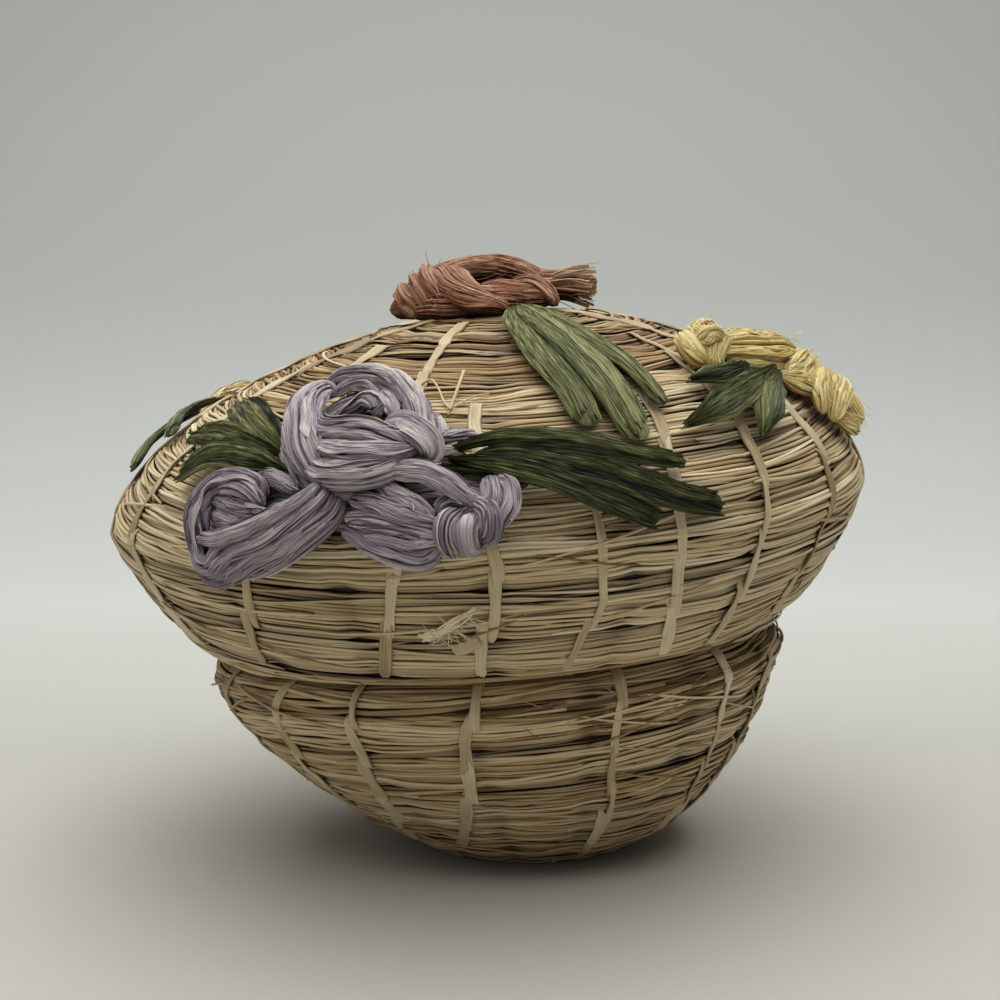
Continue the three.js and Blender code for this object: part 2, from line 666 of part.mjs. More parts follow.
group.add(named('body_coil', woundShell({
  outer: bowl, wall: BOWL_WALL, coil: BOWL_COIL, ring: FOOT_RADIUS, place: settleBowl, flip: false,
}), finish(colours.straw, 0.8)));
lidGroup.add(named('lid_coil', woundShell({
  outer: lid, wall: LID_WALL, coil: LID_COIL, ring: CENTRE_DISC, place: leanLid, flip: true,
}), finish(colours.straw, 0.8)));

for (let row = 0; row < BOWL_ROWS; row += 1) {
  group.add(named(`body_stitches_${String(row + 1).padStart(2, '0')}`, stitchRow({
    outline: bowl,
    coil: BOWL_COIL,
    place: settleBowl,
    angle: (2 * Math.PI * (row + BOWL_ROW_PHASE)) / BOWL_ROWS,
    from: FOOT_RADIUS + BOWL_ROW_START,
    to: bowl.length - RIM_MARGIN,
  }), finish(colours.stitch, 0.6)));
}
for (let row = 0; row < LID_ROWS; row += 1) {
  lidGroup.add(named(`lid_stitches_${String(row + 1).padStart(2, '0')}`, stitchRow({
    outline: lid,
    coil: LID_COIL,
    place: leanLid,
    angle: (2 * Math.PI * (row + LID_ROW_PHASE)) / LID_ROWS,
    from: row % 2 ? SHORT_ROW_START : LID_ROW_START,
    to: lid.length - LID_ROW_END,
  }), finish(colours.stitch, 0.6)));
}

const footprint = lidFootprint();
const grown = [];
for (const { name, colour, bundles } of flowers) {
  const over = grown.length ? wasm.Manifold.union(grown).add(footprint) : footprint;
  const piece = largest(join(bundles, 0).subtract(over));
  lidGroup.add(named(name, geometryOf(piece), finish(colour, 0.55)));
  grown.push(join(bundles, TOUCH));
}

export default group;
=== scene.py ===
import math

import bpy
import numpy as np
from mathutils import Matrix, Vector


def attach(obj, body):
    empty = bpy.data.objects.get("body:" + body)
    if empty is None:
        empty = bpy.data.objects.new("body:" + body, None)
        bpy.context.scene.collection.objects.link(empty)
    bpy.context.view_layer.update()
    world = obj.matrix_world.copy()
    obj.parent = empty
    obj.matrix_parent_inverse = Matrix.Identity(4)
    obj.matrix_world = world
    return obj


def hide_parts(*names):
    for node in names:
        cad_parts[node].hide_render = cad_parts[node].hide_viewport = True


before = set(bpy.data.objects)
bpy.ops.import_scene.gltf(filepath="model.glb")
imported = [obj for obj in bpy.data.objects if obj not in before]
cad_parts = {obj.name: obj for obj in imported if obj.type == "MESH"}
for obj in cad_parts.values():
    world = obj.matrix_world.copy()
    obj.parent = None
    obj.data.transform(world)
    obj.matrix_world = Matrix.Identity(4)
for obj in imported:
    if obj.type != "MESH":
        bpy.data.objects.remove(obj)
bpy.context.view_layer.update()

# The bowl's shape. The basket is hand wound and has settled out of true: the mouth leans to one side
# and dips there. Sizes are millimetres, heights are above the foot, and the flowers face -Y.
FOOT_RADIUS = 28
BOWL_FLARE = 45
SHOULDER_HEIGHT = 47
SHOULDER_RISE = 9
SHOULDER_STEP = 14
SHOULDER_TURN = math.radians(70)
BOWL_FULLNESS = 0.42
BOWL_WALL = 5.5
MOUTH_LEAN = 7.4
MOUTH_TILT = math.radians(4)
SHOULDER_RADIUS = FOOT_RADIUS + BOWL_FLARE
SEAT_HEIGHT = SHOULDER_HEIGHT + SHOULDER_RISE / 2


def run_of(points):
    """The distance along a route at each of its points."""
    return np.concatenate([[0], np.cumsum(np.linalg.norm(np.diff(points, axis=0), axis=1))])


def measured(points, side):
    """An outline of (radius, height) points by the distance along it. Side says where its face looks."""
    points = np.array(points, float)
    along = run_of(points)
    ahead = np.gradient(points, along, axis=0)
    ahead /= np.linalg.norm(ahead, axis=1)[:, None]
    face = side * np.stack([ahead[:, 1], -ahead[:, 0]], axis=1)
    return {"along": along, "points": points, "face": face, "length": along[-1], "side": side}


def at(wall, distance):
    """Points and face directions of an outline at these distances from its middle."""
    point = np.stack([np.interp(distance, wall["along"], wall["points"][:, i]) for i in (0, 1)], axis=-1)
    face = np.stack([np.interp(distance, wall["along"], wall["face"][:, i]) for i in (0, 1)], axis=-1)
    return point, face


def bulge(radius, flare, height, fullness):
    """A wall between two radii, part straight cone and part quarter of an ellipse."""
    share = np.linspace(0, 1, 61)
    turn = share * math.pi / 2
    across = radius + flare * (share * (1 - fullness) + np.sin(turn) * fullness)
    up = height * (share * (1 - fullness) + (1 - np.cos(turn)) * fullness)
    return np.stack([across, up], axis=1)


def inside_of(wall, thickness):
    """The inner face of a wall. What a corner would fold over is left out."""
    moved = wall["points"] - wall["face"] * thickness
    apart = np.linalg.norm(moved[:, None] - wall["points"][None], axis=2).min(axis=1)
    kept = moved[apart > thickness - 0.05]
    kept[0, 0] = 0
    return measured(kept, -wall["side"])


shoulder_turn = np.linspace(0, SHOULDER_TURN, 25)[1:]
shoulder = np.stack([
    SHOULDER_RADIUS - SHOULDER_STEP * (1 - np.cos(shoulder_turn)),
    SHOULDER_HEIGHT + SHOULDER_RISE * np.sin(shoulder_turn),
], axis=1)
bowl_bulge = bulge(FOOT_RADIUS, BOWL_FLARE, SHOULDER_HEIGHT, BOWL_FULLNESS)
bowl_outside = measured(np.concatenate([[[0, 0], [FOOT_RADIUS / 2, 0]], bowl_bulge, shoulder]), 1)
bowl_inside = inside_of(bowl_outside, BOWL_WALL)


def tilt(points):
    """From the upright axes of the mouth to those of the basket."""
    x, y, z = np.moveaxis(points, -1, 0)
    across = x * math.cos(MOUTH_TILT) - z * math.sin(MOUTH_TILT) - MOUTH_LEAN
    return np.stack([across, y, x * math.sin(MOUTH_TILT) + z * math.cos(MOUTH_TILT) + SEAT_HEIGHT], axis=-1)


def settle_bowl(points):
    """Where a point of the true round bowl has come to lie."""
    rise = np.clip(points[..., 2:] / SHOULDER_HEIGHT, 0, 1)
    share = rise * rise * (3 - 2 * rise)
    return points + (tilt(points - [0, 0, SEAT_HEIGHT]) - points) * share


def on_wall(wall, settle, angle, distance, lift):
    """Points off a wound wall, and the direction straight off it."""
    point, face = at(wall, distance)
    turned = np.stack([np.cos(angle), np.sin(angle)], axis=-1)

    def spun(height):
        flat = point + face * np.asarray(height)[..., None]
        return settle(np.concatenate([turned * flat[..., :1], flat[..., 1:]], axis=-1))

    base = spun(lift)
    off = spun(lift + 1.0) - base
    return base, off / np.linalg.norm(off, axis=-1)[..., None]


# Straw of the bowl. Each coil is a bundle of ten or so fine dry stalks, some round and some flat
# blades. They wander, dip under their neighbours where they end, and are pulled in by each stitch.
BOWL_COIL = 12.4
BOWL_LANES = 12  # stalks that lie side by side across one coil
GROOVE = 0.9
STALK_STEP = 3.4  # a stalk has a ring of its section every so often, in length or in angle
STALK_TURN = 0.25
WINDING_STEP = 0.05
SHORTEST_STALK = 8
STALK_OVERLAP = 6  # a stalk starts this far before the end of the one in front of it
END_TAPER = 3
TUCK_LENGTH = 4  # over this length an end dips under its neighbours
PROUDEST = 0.9
STITCH_PULL = 0.5
STITCH_REACH = 3.2
BOWL_ROWS = 16
BOWL_ROW_PHASE = -0.25
NUMBERS = 90  # each strand takes a number up to this, which sets its own pattern of streaks
LOWEST = 0.02  # no strand goes below this height, so that the foot stands flat


def round_section(sides):
    """A stalk cut across, as a polygon of radius 1 that starts at its underside."""
    return np.array([(math.sin(a), -math.cos(a)) for a in np.linspace(0, 2 * math.pi, sides + 1)[:-1]])


STALK_SECTION = round_section(8)
PLAIN_SECTION = round_section(6)
BLADE_SECTION = STALK_SECTION * [1, 0.8]
BLADE_SECTION[4] = (0, 0.1)  # a blade is folded down its middle


def skin(rings, sides):
    """The faces of a tube of this many rings: its quads, and a cap for each end."""
    near = np.arange(rings - 1)[:, None] * sides
    left, right = np.arange(sides)[None], (np.arange(sides)[None] + 1) % sides
    quads = [near + left, near + sides + left, near + sides + right, near + right]
    total = rings * sides
    caps = [list(range(sides)), list(range(total - 1, total - sides - 1, -1))]
    return {"quads": np.stack(quads, axis=-1).reshape(-1, 4), "caps": caps}


def strand(points, outs, width, thickness, section, tone, number, roll=0.0, shade=0.0, flank=0.0):
    """One stalk or ribbon: a section carried along points, with the marks that its finish needs.
    Flank says how much painted shade it gets down its sides, where its neighbours would shade it."""
    points = np.asarray(points, float)
    ahead = np.gradient(points, axis=0)
    ahead /= np.linalg.norm(ahead, axis=1)[:, None] + 1e-12
    across = np.cross(ahead, outs)
    across /= np.linalg.norm(across, axis=1)[:, None] + 1e-12
    up = np.cross(across, ahead)
    turn = np.broadcast_to(roll, len(points))[:, None]
    across, up = across * np.cos(turn) + up * np.sin(turn), up * np.cos(turn) - across * np.sin(turn)
    wide = np.broadcast_to(width, len(points))[:, None, None] / 2
    thick = np.broadcast_to(thickness, len(points))[:, None, None] / 2
    ring = points[:, None] + across[:, None] * wide * section[..., :1]
    ring = ring + up[:, None] * thick * section[..., 1:]
    rings, sides = ring.shape[:2]
    fibre = np.stack([
        np.broadcast_to(run_of(points)[:, None], (rings, sides)),
        wide[..., 0] * section[..., 0],
        np.full((rings, sides), float(number)),
    ], axis=-1)
    tones, shades = (
        np.broadcast_to(mark if np.ndim(mark) == 2 else np.asarray(mark, float)[..., None], (rings, sides))
        for mark in (tone, shade)
    )
    # The shade mark is painted shade: what is given, plus more down the flanks of the strand.
    shades = shades + flank * np.clip(0.75 - section[..., 1], 0, 1)
    return {
        "vertices": ring.reshape(-1, 3), "fibre": fibre.reshape(-1, 3), "shade": shades.reshape(-1),
        "tone": tones.reshape(-1), **skin(rings, sides),
    }


def make_piece(name, strands, finish, body, nodes, crisp=180):
    """Joins strands into one piece that rides on a body and stands for these nodes of the frame.
    Edges that turn by more than crisp degrees stay sharp."""
    quads, caps, start = [], [], 0
    for one in strands:
        quads.append(one["quads"] + start)
        caps += [[start + corner for corner in cap] for cap in one["caps"]]
        start += len(one["vertices"])
    vertices = np.concatenate([one["vertices"] for one in strands])
    vertices[:, 2] = np.maximum(vertices[:, 2], LOWEST)
    mesh = bpy.data.meshes.new(name)
    mesh.from_pydata((vertices * 0.001).tolist(), [], np.concatenate(quads).tolist() + caps)
    for mark, kind, field in (
        ("fibre", "FLOAT_VECTOR", "vector"), ("tone", "FLOAT", "value"), ("shade", "FLOAT", "value"),
    ):
        values = np.concatenate([one[mark] for one in strands]).astype(np.float32)
        mesh.attributes.new(mark, kind, "POINT").data.foreach_set(field, values.ravel())
    mesh.shade_smooth()
    mesh.set_sharp_from_angle(angle=math.radians(crisp))
    mesh.materials.append(finish)
    piece = bpy.data.objects.new(name, mesh)
    bpy.context.scene.collection.objects.link(piece)
    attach(piece, body)
    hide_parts(*nodes)
    return piece


def crown(phase):
    """How far the surface of a coil lies below its crest, from one groove to the next."""
    return -GROOVE * np.abs(2 * phase - 1) ** 3.2


def stitch_pull(angle, radius, rows, row_phase):
    """How strongly the nearest row of stitches pulls the stalks in here, from 0 to 1."""
    apart = (angle * rows / (2 * math.pi) - row_phase + 0.5) % 1 - 0.5
    return np.exp(-(apart * 2 * math.pi / rows * radius / STITCH_REACH) ** 2)


def droop(distance, angle, depth):
    """How far down its wall a coil hangs here: coils dip by depth at the front, and rise behind."""
    return -depth * np.sin(angle) * np.clip(distance / 40, 0, 1)


def wave(rng, run, lengths):
    """A slow wander along a stalk, between about -1 and 1."""
    return sum(np.sin(2 * math.pi * run / length + rng.uniform(0, 6.3)) for length in lengths) / len(lengths)


def wound_stalks(rng, wall, settle, coil, lanes, rows, row_phase, layer, reach):
    """The stalks of one layer of a wound face, between two distances from its middle."""
    made = []
    swings = rng.uniform(0, 6.3, 2)
    for lane in range(lanes):
        place = (lane + 0.5) / lanes
        angle = np.arange(0, 2 * math.pi * (reach[1] / coil + 1), WINDING_STEP)
        distance = coil * (angle / (2 * math.pi) + place - 1)
        inside = (distance > reach[0]) & (distance < reach[1])
        angle, distance = angle[inside], distance[inside]
        radius = at(wall, distance)[0][:, 0]
        step = np.hypot(radius[1:] * np.diff(angle), np.diff(distance))
        run = np.concatenate([[0], np.cumsum(step)])
        count = np.concatenate([[0], np.cumsum(step / layer["step"] + np.diff(angle) / STALK_TURN)])
        begin = -rng.uniform(0, 150)
        while begin < run[-1]:
            length = rng.uniform(*layer["stalk"])
            first, last = max(begin, 0), min(begin + length, run[-1])
            begin += length * layer["spacing"] - STALK_OVERLAP
            if last - first < SHORTEST_STALK:
                continue
            ticks = np.interp([first, last], run, count)
            stations = np.interp(np.linspace(*ticks, max(5, int(ticks[1] - ticks[0]) + 1)), count, run)
            blade = rng.random() < layer["blades"]
            width = rng.uniform(*layer["blade_width"]) if blade else rng.uniform(*layer["width"])
            thick = rng.uniform(0.4, 0.55) if blade else width * rng.uniform(0.75, 0.95)
            here = np.interp(stations, run, angle)
            sway = np.sin(2.3 * here + 2.6 * place + swings[0]) + np.sin(5.1 * here - 3.4 * place + swings[1])
            wander = layer["wander"] * wave(rng, stations, (37 + 20 * rng.random(), 90)) + rng.normal(0, 0.1)
            wander = wander + layer["sway"] * sway / 2
            far = np.interp(stations, run, distance)
            away = np.interp(stations, run, radius)
            pull = stitch_pull(here, away, rows, row_phase)
            phase = np.clip(place + wander / coil, 0.015, 0.985)
            squeezed = 0.5 + (phase - 0.5) * (1 - 0.1 * pull)
            far = far + (squeezed - place) * coil + droop(far, here, layer["droop"])
            roll = rng.normal(0, 0.3) + 0.25 * wave(rng, stations, (60, 29))
            sunk = rng.normal(0, layer["uneven"]) + 0.12 * wave(rng, stations, (23, 51))
            tone, number = rng.normal(*layer["tones"]), rng.random() * NUMBERS
            on = far < wall["length"] + 1.5
            for part in np.split(np.arange(len(far)), np.flatnonzero(np.diff(on)) + 1):
                if len(part) < 4 or not on[part[0]]:
                    continue
                ends = np.minimum(stations[part] - stations[part[0]], stations[part[-1]] - stations[part])
                tuck = np.exp(-(ends / TUCK_LENGTH) ** 2) * layer["tuck"] * rng.uniform(-0.4, 1.6)
                lift = crown(squeezed[part]) + layer["lift"] - thick / 2 + sunk[part]
                lift = lift - STITCH_PULL * pull[part] - tuck
                lift = np.minimum(lift, PROUDEST)
                points, outs = on_wall(wall, settle, here[part], np.minimum(far[part], wall["length"]), lift)
                # A stalk is painted in shade the deeper it sinks among its neighbours.
                made.append(strand(
                    points, outs, width * np.clip(ends / END_TAPER, 0.35, 1), thick,
                    BLADE_SECTION if blade else layer["section"], tone, number,
                    roll=roll[part], shade=np.clip(-(lift + 0.5) / 1.6, 0, 1), flank=0.8,
                ))
    return made


def rim_stalks(rng, outside, inside, settle, wall, count):
    """Stalks that lie round the rounded edge of a wall, as the last turn of its bundle does."""
    made = []
    middle = (outside["points"][-1] + inside["points"][-1]) / 2
    face = outside["face"][-1]
    ahead = outside["side"] * np.array([-face[1], face[0]])
    for lane in range(count):
        turn = math.pi * (lane + 0.5) / count
        for part in range(3):
            start, span = 2 * math.pi * (part / 3 + rng.random()), 2 * math.pi / 3 + 0.3
            angle = np.linspace(start, start + span, 60)
            bead = turn + 0.18 * wave(rng, angle, (1.1, 2.7))
            depth = wall / 2 - 0.5 + rng.normal(0, 0.12) + 0.15 * wave(rng, angle, (0.7, 1.9))
            round_face = np.cos(bead)[:, None] * face + np.sin(bead)[:, None] * ahead
            spot = middle + round_face * np.broadcast_to(depth, angle.shape)[:, None]
            turned = np.stack([np.cos(angle), np.sin(angle)], axis=-1)
            points = settle(np.concatenate([turned * spot[:, :1], spot[:, 1:]], axis=-1))
            outer = spot + round_face
            outs = settle(np.concatenate([turned * outer[:, :1], outer[:, 1:]], axis=-1)) - points
            # A little painted shade lies on them.
            made.append(strand(
                points, outs, rng.uniform(1.2, 1.8), 0.8, STALK_SECTION, rng.normal(0.5, 0.17),
                rng.random() * NUMBERS, shade=0.2,
            ))
    return made


def feed(tree, value, socket):
    """Links a value into a socket, or sets the socket to it."""
    if isinstance(value, bpy.types.NodeSocket):
        tree.links.new(value, socket)
    else:
        socket.default_value = value


def noise(tree, vector):
    node = tree.nodes.new("ShaderNodeTexNoise")
    feed(tree, vector, node.inputs["Vector"])
    for title, amount in (("Scale", 1.0), ("Detail", 3.0), ("Roughness", 0.55)):
        node.inputs[title].default_value = amount
    return node.outputs["Fac"]


def remap(tree, value, low, high, new_low=0.0, new_high=1.0):
    node = tree.nodes.new("ShaderNodeMapRange")
    for socket, amount in zip(node.inputs, (value, low, high, new_low, new_high)):
        feed(tree, amount, socket)
    return node.outputs["Result"]


def darkened(tree, share, colour, dark):
    """A colour, multiplied by a dark one where the share is 1."""
    node = tree.nodes.new("ShaderNodeMix")
    node.data_type = "RGBA"
    node.blend_type = "MULTIPLY"
    for socket, value in ((0, share), (6, colour), (7, tint(*dark))):
        feed(tree, value, node.inputs[socket])
    return node.outputs[2]


def sums(tree, way, first, second):
    node = tree.nodes.new("ShaderNodeMath")
    node.operation = way
    feed(tree, first, node.inputs[0])
    feed(tree, second, node.inputs[1])
    return node.outputs[0]


def colour_steps(tree, value, steps):
    """A run of colours over a value from 0 to 1. Steps are (place, red, green, blue)."""
    node = tree.nodes.new("ShaderNodeValToRGB")
    feed(tree, value, node.inputs["Fac"])
    ramp = node.color_ramp.elements
    while len(ramp) < len(steps):
        ramp.new(0.5)
    for element, (place, *colour) in zip(ramp, steps):
        element.position = place
        element.color = tint(*colour)
    return node.outputs["Color"]


def tint(red, green, blue):
    """A colour as it is seen on a screen, 0 to 255, as the shaders take it."""
    seen = (red / 255, green / 255, blue / 255)
    return tuple(((c + 0.055) / 1.055) ** 2.4 if c > 10 / 255 else c / 12.92 for c in seen) + (1.0,)


def fibre_group():
    """Streaks that run along a strand, from the mark that says how far along it a point is, how far
    across it, and in which strand."""
    group = bpy.data.node_groups.new("raffia fibres", "ShaderNodeTree")
    for title, kind, way in (
        ("Fibre", "NodeSocketVector", "INPUT"), ("Streak width", "NodeSocketFloat", "INPUT"),
        ("Streak length", "NodeSocketFloat", "INPUT"), ("Streaks", "NodeSocketFloat", "OUTPUT"),
        ("Fine streaks", "NodeSocketFloat", "OUTPUT"), ("Mottle", "NodeSocketFloat", "OUTPUT"),
    ):
        group.interface.new_socket(title, in_out=way, socket_type=kind)
    given = group.nodes.new("NodeGroupInput")
    result = group.nodes.new("NodeGroupOutput")
    parts = group.nodes.new("ShaderNodeSeparateXYZ")
    group.links.new(given.outputs["Fibre"], parts.inputs[0])
    sizes = [("Mottle", 14.0, 6.0)]  # patches of one tone, in millimetres along and across
    for title, finer in (("Streaks", 1.0), ("Fine streaks", 0.35)):
        sizes.append((title, *(
            sums(group, "MULTIPLY", given.outputs[size], finer) for size in ("Streak length", "Streak width")
        )))
    for title, length, width in sizes:
        joined = group.nodes.new("ShaderNodeCombineXYZ")
        feed(group, sums(group, "DIVIDE", parts.outputs[0], length), joined.inputs[0])
        feed(group, sums(group, "DIVIDE", parts.outputs[1], width), joined.inputs[1])
        feed(group, parts.outputs[2], joined.inputs[2])
        feed(group, noise(group, joined.outputs[0]), result.inputs[title])
    return group


raffia_fibres = fibre_group()


def mark(tree, name, output):
    node = tree.nodes.new("ShaderNodeAttribute")
    node.attribute_name = name
    return node.outputs[output]


def fibres(tree, width, length):
    """The fibre group in a material, with its own size of streak."""
    node = tree.nodes.new("ShaderNodeGroup")
    node.node_tree = raffia_fibres
    feed(tree, mark(tree, "fibre", "Vector"), node.inputs["Fibre"])
    node.inputs["Streak width"].default_value = width
    node.inputs["Streak length"].default_value = length
    return node.outputs


def bump(tree, height, strength, depth):
    """Relief of this depth in metres."""
    node = tree.nodes.new("ShaderNodeBump")
    node.inputs["Strength"].default_value = strength
    node.inputs["Distance"].default_value = depth
    feed(tree, height, node.inputs["Height"])
    return node.outputs["Normal"]


def new_finish(name):
    finish = bpy.data.materials.new(name)
    finish.use_nodes = True
    return finish, finish.node_tree, finish.node_tree.nodes["Principled BSDF"]


def fibre_finish(name, steps, dark, streak, swings, shade_range, rough, relief, gloss=0.5):
    """A dry fibre. Each strand has its own tone in a run of colours, streaked along it, and is painted
    in shade where its shade mark passes from the first to the second value of shade_range. Swings say
    which streaks move the tone, within which range and how far, rough which of them sets the roughness,
    and relief how strong the fine streaks, the bump and its depth in metres are."""
    finish, tree, shader = new_finish(name)
    streaks = fibres(tree, *streak)
    tone = mark(tree, "tone", "Fac")
    for title, edge, swing in swings:
        tone = sums(tree, "ADD", tone, remap(tree, streaks[title], edge, 1 - edge, -swing, swing))
    # Painted shade: the dark colour is multiplied in where the shade mark is high.
    deep = remap(tree, mark(tree, "shade", "Fac"), *shade_range)
    feed(tree, darkened(tree, deep, colour_steps(tree, tone, steps), dark), shader.inputs["Base Color"])
    title, smoothest, roughest = rough
    roughness = remap(tree, streaks[title], 0.3, 0.7, smoothest, roughest)
    feed(tree, roughness, shader.inputs["Roughness"])
    fine, strength, depth = relief
    height = sums(tree, "ADD", streaks["Streaks"], sums(tree, "MULTIPLY", streaks["Fine streaks"], fine))
    feed(tree, bump(tree, height, strength, depth), shader.inputs["Normal"])
    shader.inputs["Specular IOR Level"].default_value = gloss
    return finish


straw = fibre_finish(
    "dry straw", steps=(
        (0.0, 120, 86, 44), (0.25, 168, 138, 92), (0.5, 198, 173, 128), (0.75, 216, 195, 153),
        (1.0, 236, 220, 182),
    ),
    dark=(56, 30, 6), streak=(0.3, 40.0), swings=(("Mottle", 0.25, 0.12), ("Streaks", 0.3, 0.07)),
    shade_range=(0.08, 0.9), rough=("Fine streaks", 0.5, 0.72), relief=(0.4, 0.55, 0.0002), gloss=0.35,
)

UNDER_STALKS = dict(  # stalk is their length, blades the share of flat ones, lift how proud they stand
    step=STALK_STEP, stalk=(90, 260), spacing=1.0, blades=0.05, width=(0.9, 1.15), blade_width=(1.3, 1.6),
    wander=0.25, sway=0.5, droop=0, tuck=0.8, uneven=0.18, lift=-0.1, tones=(0.5, 0.12),
    section=STALK_SECTION,
)
UPPER_STALKS = dict(
    step=STALK_STEP, stalk=(60, 180), spacing=2.0, blades=0.08, width=(0.8, 1.12), blade_width=(1.2, 1.8),
    wander=0.5, sway=2.0, droop=0, tuck=0.7, uneven=0.15, lift=0.3, tones=(0.5, 0.16),
    section=STALK_SECTION,
)
INNER_STALKS = dict(
    step=4.5, stalk=(80, 200), spacing=1.0, blades=0.2, width=(1.3, 1.8), blade_width=(1.8, 2.4),
    wander=0.4, sway=0.6, droop=0, tuck=0.6, uneven=0.16, lift=-0.05, tones=(0.5, 0.16),
    section=PLAIN_SECTION,
)
FOOT_STALKS = dict(UNDER_STALKS, lift=-0.35, uneven=0.08)
BOWL_INNER_LANES = 9
RIM_STALKS = 7

bowl_rng = np.random.default_rng(11)
bowl_end = bowl_outside["length"]
bowl_winding = (bowl_outside, settle_bowl, BOWL_COIL, BOWL_LANES, BOWL_ROWS, BOWL_ROW_PHASE)
lining_winding = (bowl_inside, settle_bowl, BOWL_COIL, BOWL_INNER_LANES, BOWL_ROWS, BOWL_ROW_PHASE)
for title, winding, layer, reach in (
    ("foot_straw", bowl_winding, FOOT_STALKS, (2, FOOT_RADIUS + 1)),
    ("bowl_straw", bowl_winding, UNDER_STALKS, (FOOT_RADIUS - 1, bowl_end)),
    ("bowl_loose_straw", bowl_winding, UPPER_STALKS, (FOOT_RADIUS + 2, bowl_end - 1)),
    ("bowl_inner_straw", lining_winding, INNER_STALKS, (2, bowl_inside["length"])),
):
    stalks = wound_stalks(bowl_rng, *winding, layer, reach)
    make_piece(title, stalks, straw, "body", ["body_coil"])
bowl_rim = rim_stalks(bowl_rng, bowl_outside, bowl_inside, settle_bowl, BOWL_WALL, RIM_STALKS)
make_piece("bowl_rim_straw", bowl_rim, straw, "body", ["body_coil"])


# Heart of the coils. Behind the stalks in view lie more of the same, packed tight: a plain skin
# between the two faces of the wall stands for them, lets no light through and is painted in full shade.
CORE_DEPTH = 1.5
CORE_SIDES = 96


def packed_core(name, outside, inside, settle, finish, body, nodes):
    """A closed skin that lies a little below both faces of a wall, from the middle to the rim."""
    around = np.linspace(0, 2 * math.pi, CORE_SIDES + 1)[:-1]
    rows = []
    for wall, order in ((outside, 1), (inside, -1)):
        for distance in np.linspace(0.5, wall["length"] - 1.5, 60)[::order]:
            flat = np.full(CORE_SIDES, distance)
            rows.append(on_wall(wall, settle, around, flat, np.full(CORE_SIDES, -CORE_DEPTH))[0])
    total = len(rows) * CORE_SIDES
    # Its shade mark is full everywhere: the skin is painted in shade all over.
    plain = {
        "vertices": np.concatenate(rows), "fibre": np.zeros((total, 3)), "shade": np.ones(total),
        "tone": np.full(total, 0.3), **skin(len(rows), CORE_SIDES),
    }
    return make_piece(name, [plain], finish, body, nodes)


packed_core("bowl_core", bowl_outside, bowl_inside, settle_bowl, straw, "body", ["body_coil"])


# Stitches of the bowl. A strip of split raffia comes out of the middle of one coil, is pulled down
# over the next, and goes in at its far groove, beside the end of the one before. Short rows of finer
# ones bind the first turns on the underside.
STITCH_WIDTH = 2.7
STITCH_THICKNESS = 0.75
STITCH_STEP = 1.6  # how far a stitch moves sideways along its length
STITCH_CRISP = 35
BOWL_ROW_START = FOOT_RADIUS + 6
INNER_ROW_START = 24
BOWL_STRAYS = {  # how far the rows in view stray sideways, where the photo shows it
    9: (-4, 12), 10: (-12, 11), 11: (-12, 4), 12: (-14, 5), 13: (3.5, 7.5), 14: (9, 11.5), 15: (-1, 5),
}
FOOT_ROWS, FOOT_STITCH_WIDTH = 8, 2.0
STRIP_SECTION = np.array([
    (-1, 0), (-0.8, -0.7), (0, -0.9), (0.8, -0.7), (1, 0), (0.78, 0.8), (0.4, 0.55), (0, 0.95), (-0.45, 0.6),
    (-0.8, 0.8),
])


def stitches(rng, wall, settle, coil, angle, reach, size, start_share=0.5, shift=(0, 0), depth=0):
    """One row of stitches on a wound face, each over one coil and starting in the one before. Shift
    gives how far the row strays sideways from end to end, depth how much the coils droop."""
    made = []
    turn = math.ceil((reach[0] - depth) / coil - angle / (2 * math.pi))
    while True:
        groove = coil * (turn + angle / (2 * math.pi))
        hang = float(droop(groove, angle, depth))
        groove += hang
        turn += 1
        if groove < reach[0]:
            continue
        if groove + coil * 0.75 > reach[1]:
            break
        share = np.linspace(0, 1, 22)
        first = groove - start_share * coil * rng.uniform(0.8, 1.15)
        last = min(groove + coil * rng.uniform(0.92, 1.04), reach[1])
        distance = first + (last - first) * share
        radius = np.maximum(at(wall, distance)[0][:, 0], 4)
        bow = rng.normal(0, 0.4) * np.sin(math.pi * share)
        side = wall["side"] * STITCH_STEP * (0.5 - share) * rng.uniform(-0.2, 1.3) + bow + rng.normal(0, 0.4)
        side = side + np.interp(first + 0.85 * (distance - first), np.linspace(*reach, len(shift)), shift)
        phase = ((distance - hang) / coil - angle / (2 * math.pi)) % 1
        over = crown(phase) * 0.55 + 0.2
        over = np.convolve(np.pad(over, 2, "edge"), np.ones(5) / 5, "valid")
        run = share * (last - first)
        plunge = 1.5 * np.exp(-(run / 1.1) ** 2) + 1.4 * np.exp(-((run[-1] - run) / 0.9) ** 2)
        points, outs = on_wall(wall, settle, angle + side / radius, distance, over - plunge)
        blunt = np.clip(run / 1.2 + 0.55, 0, 1)
        pointed = np.clip((run[-1] - run) / 5 + 0.3, 0, 1)
        wide = size * rng.uniform(0.75, 1.25) * blunt * pointed * (1 - 0.12 * wave(rng, run, (9, 21)))
        made.append(strand(
            points, outs, wide, STITCH_THICKNESS, STRIP_SECTION, rng.normal(0.5, 0.16),
            rng.random() * NUMBERS,
            roll=rng.normal(0, 0.16) + 0.25 * wave(rng, run, (30, 11)), flank=0.5,
        ))
    return made


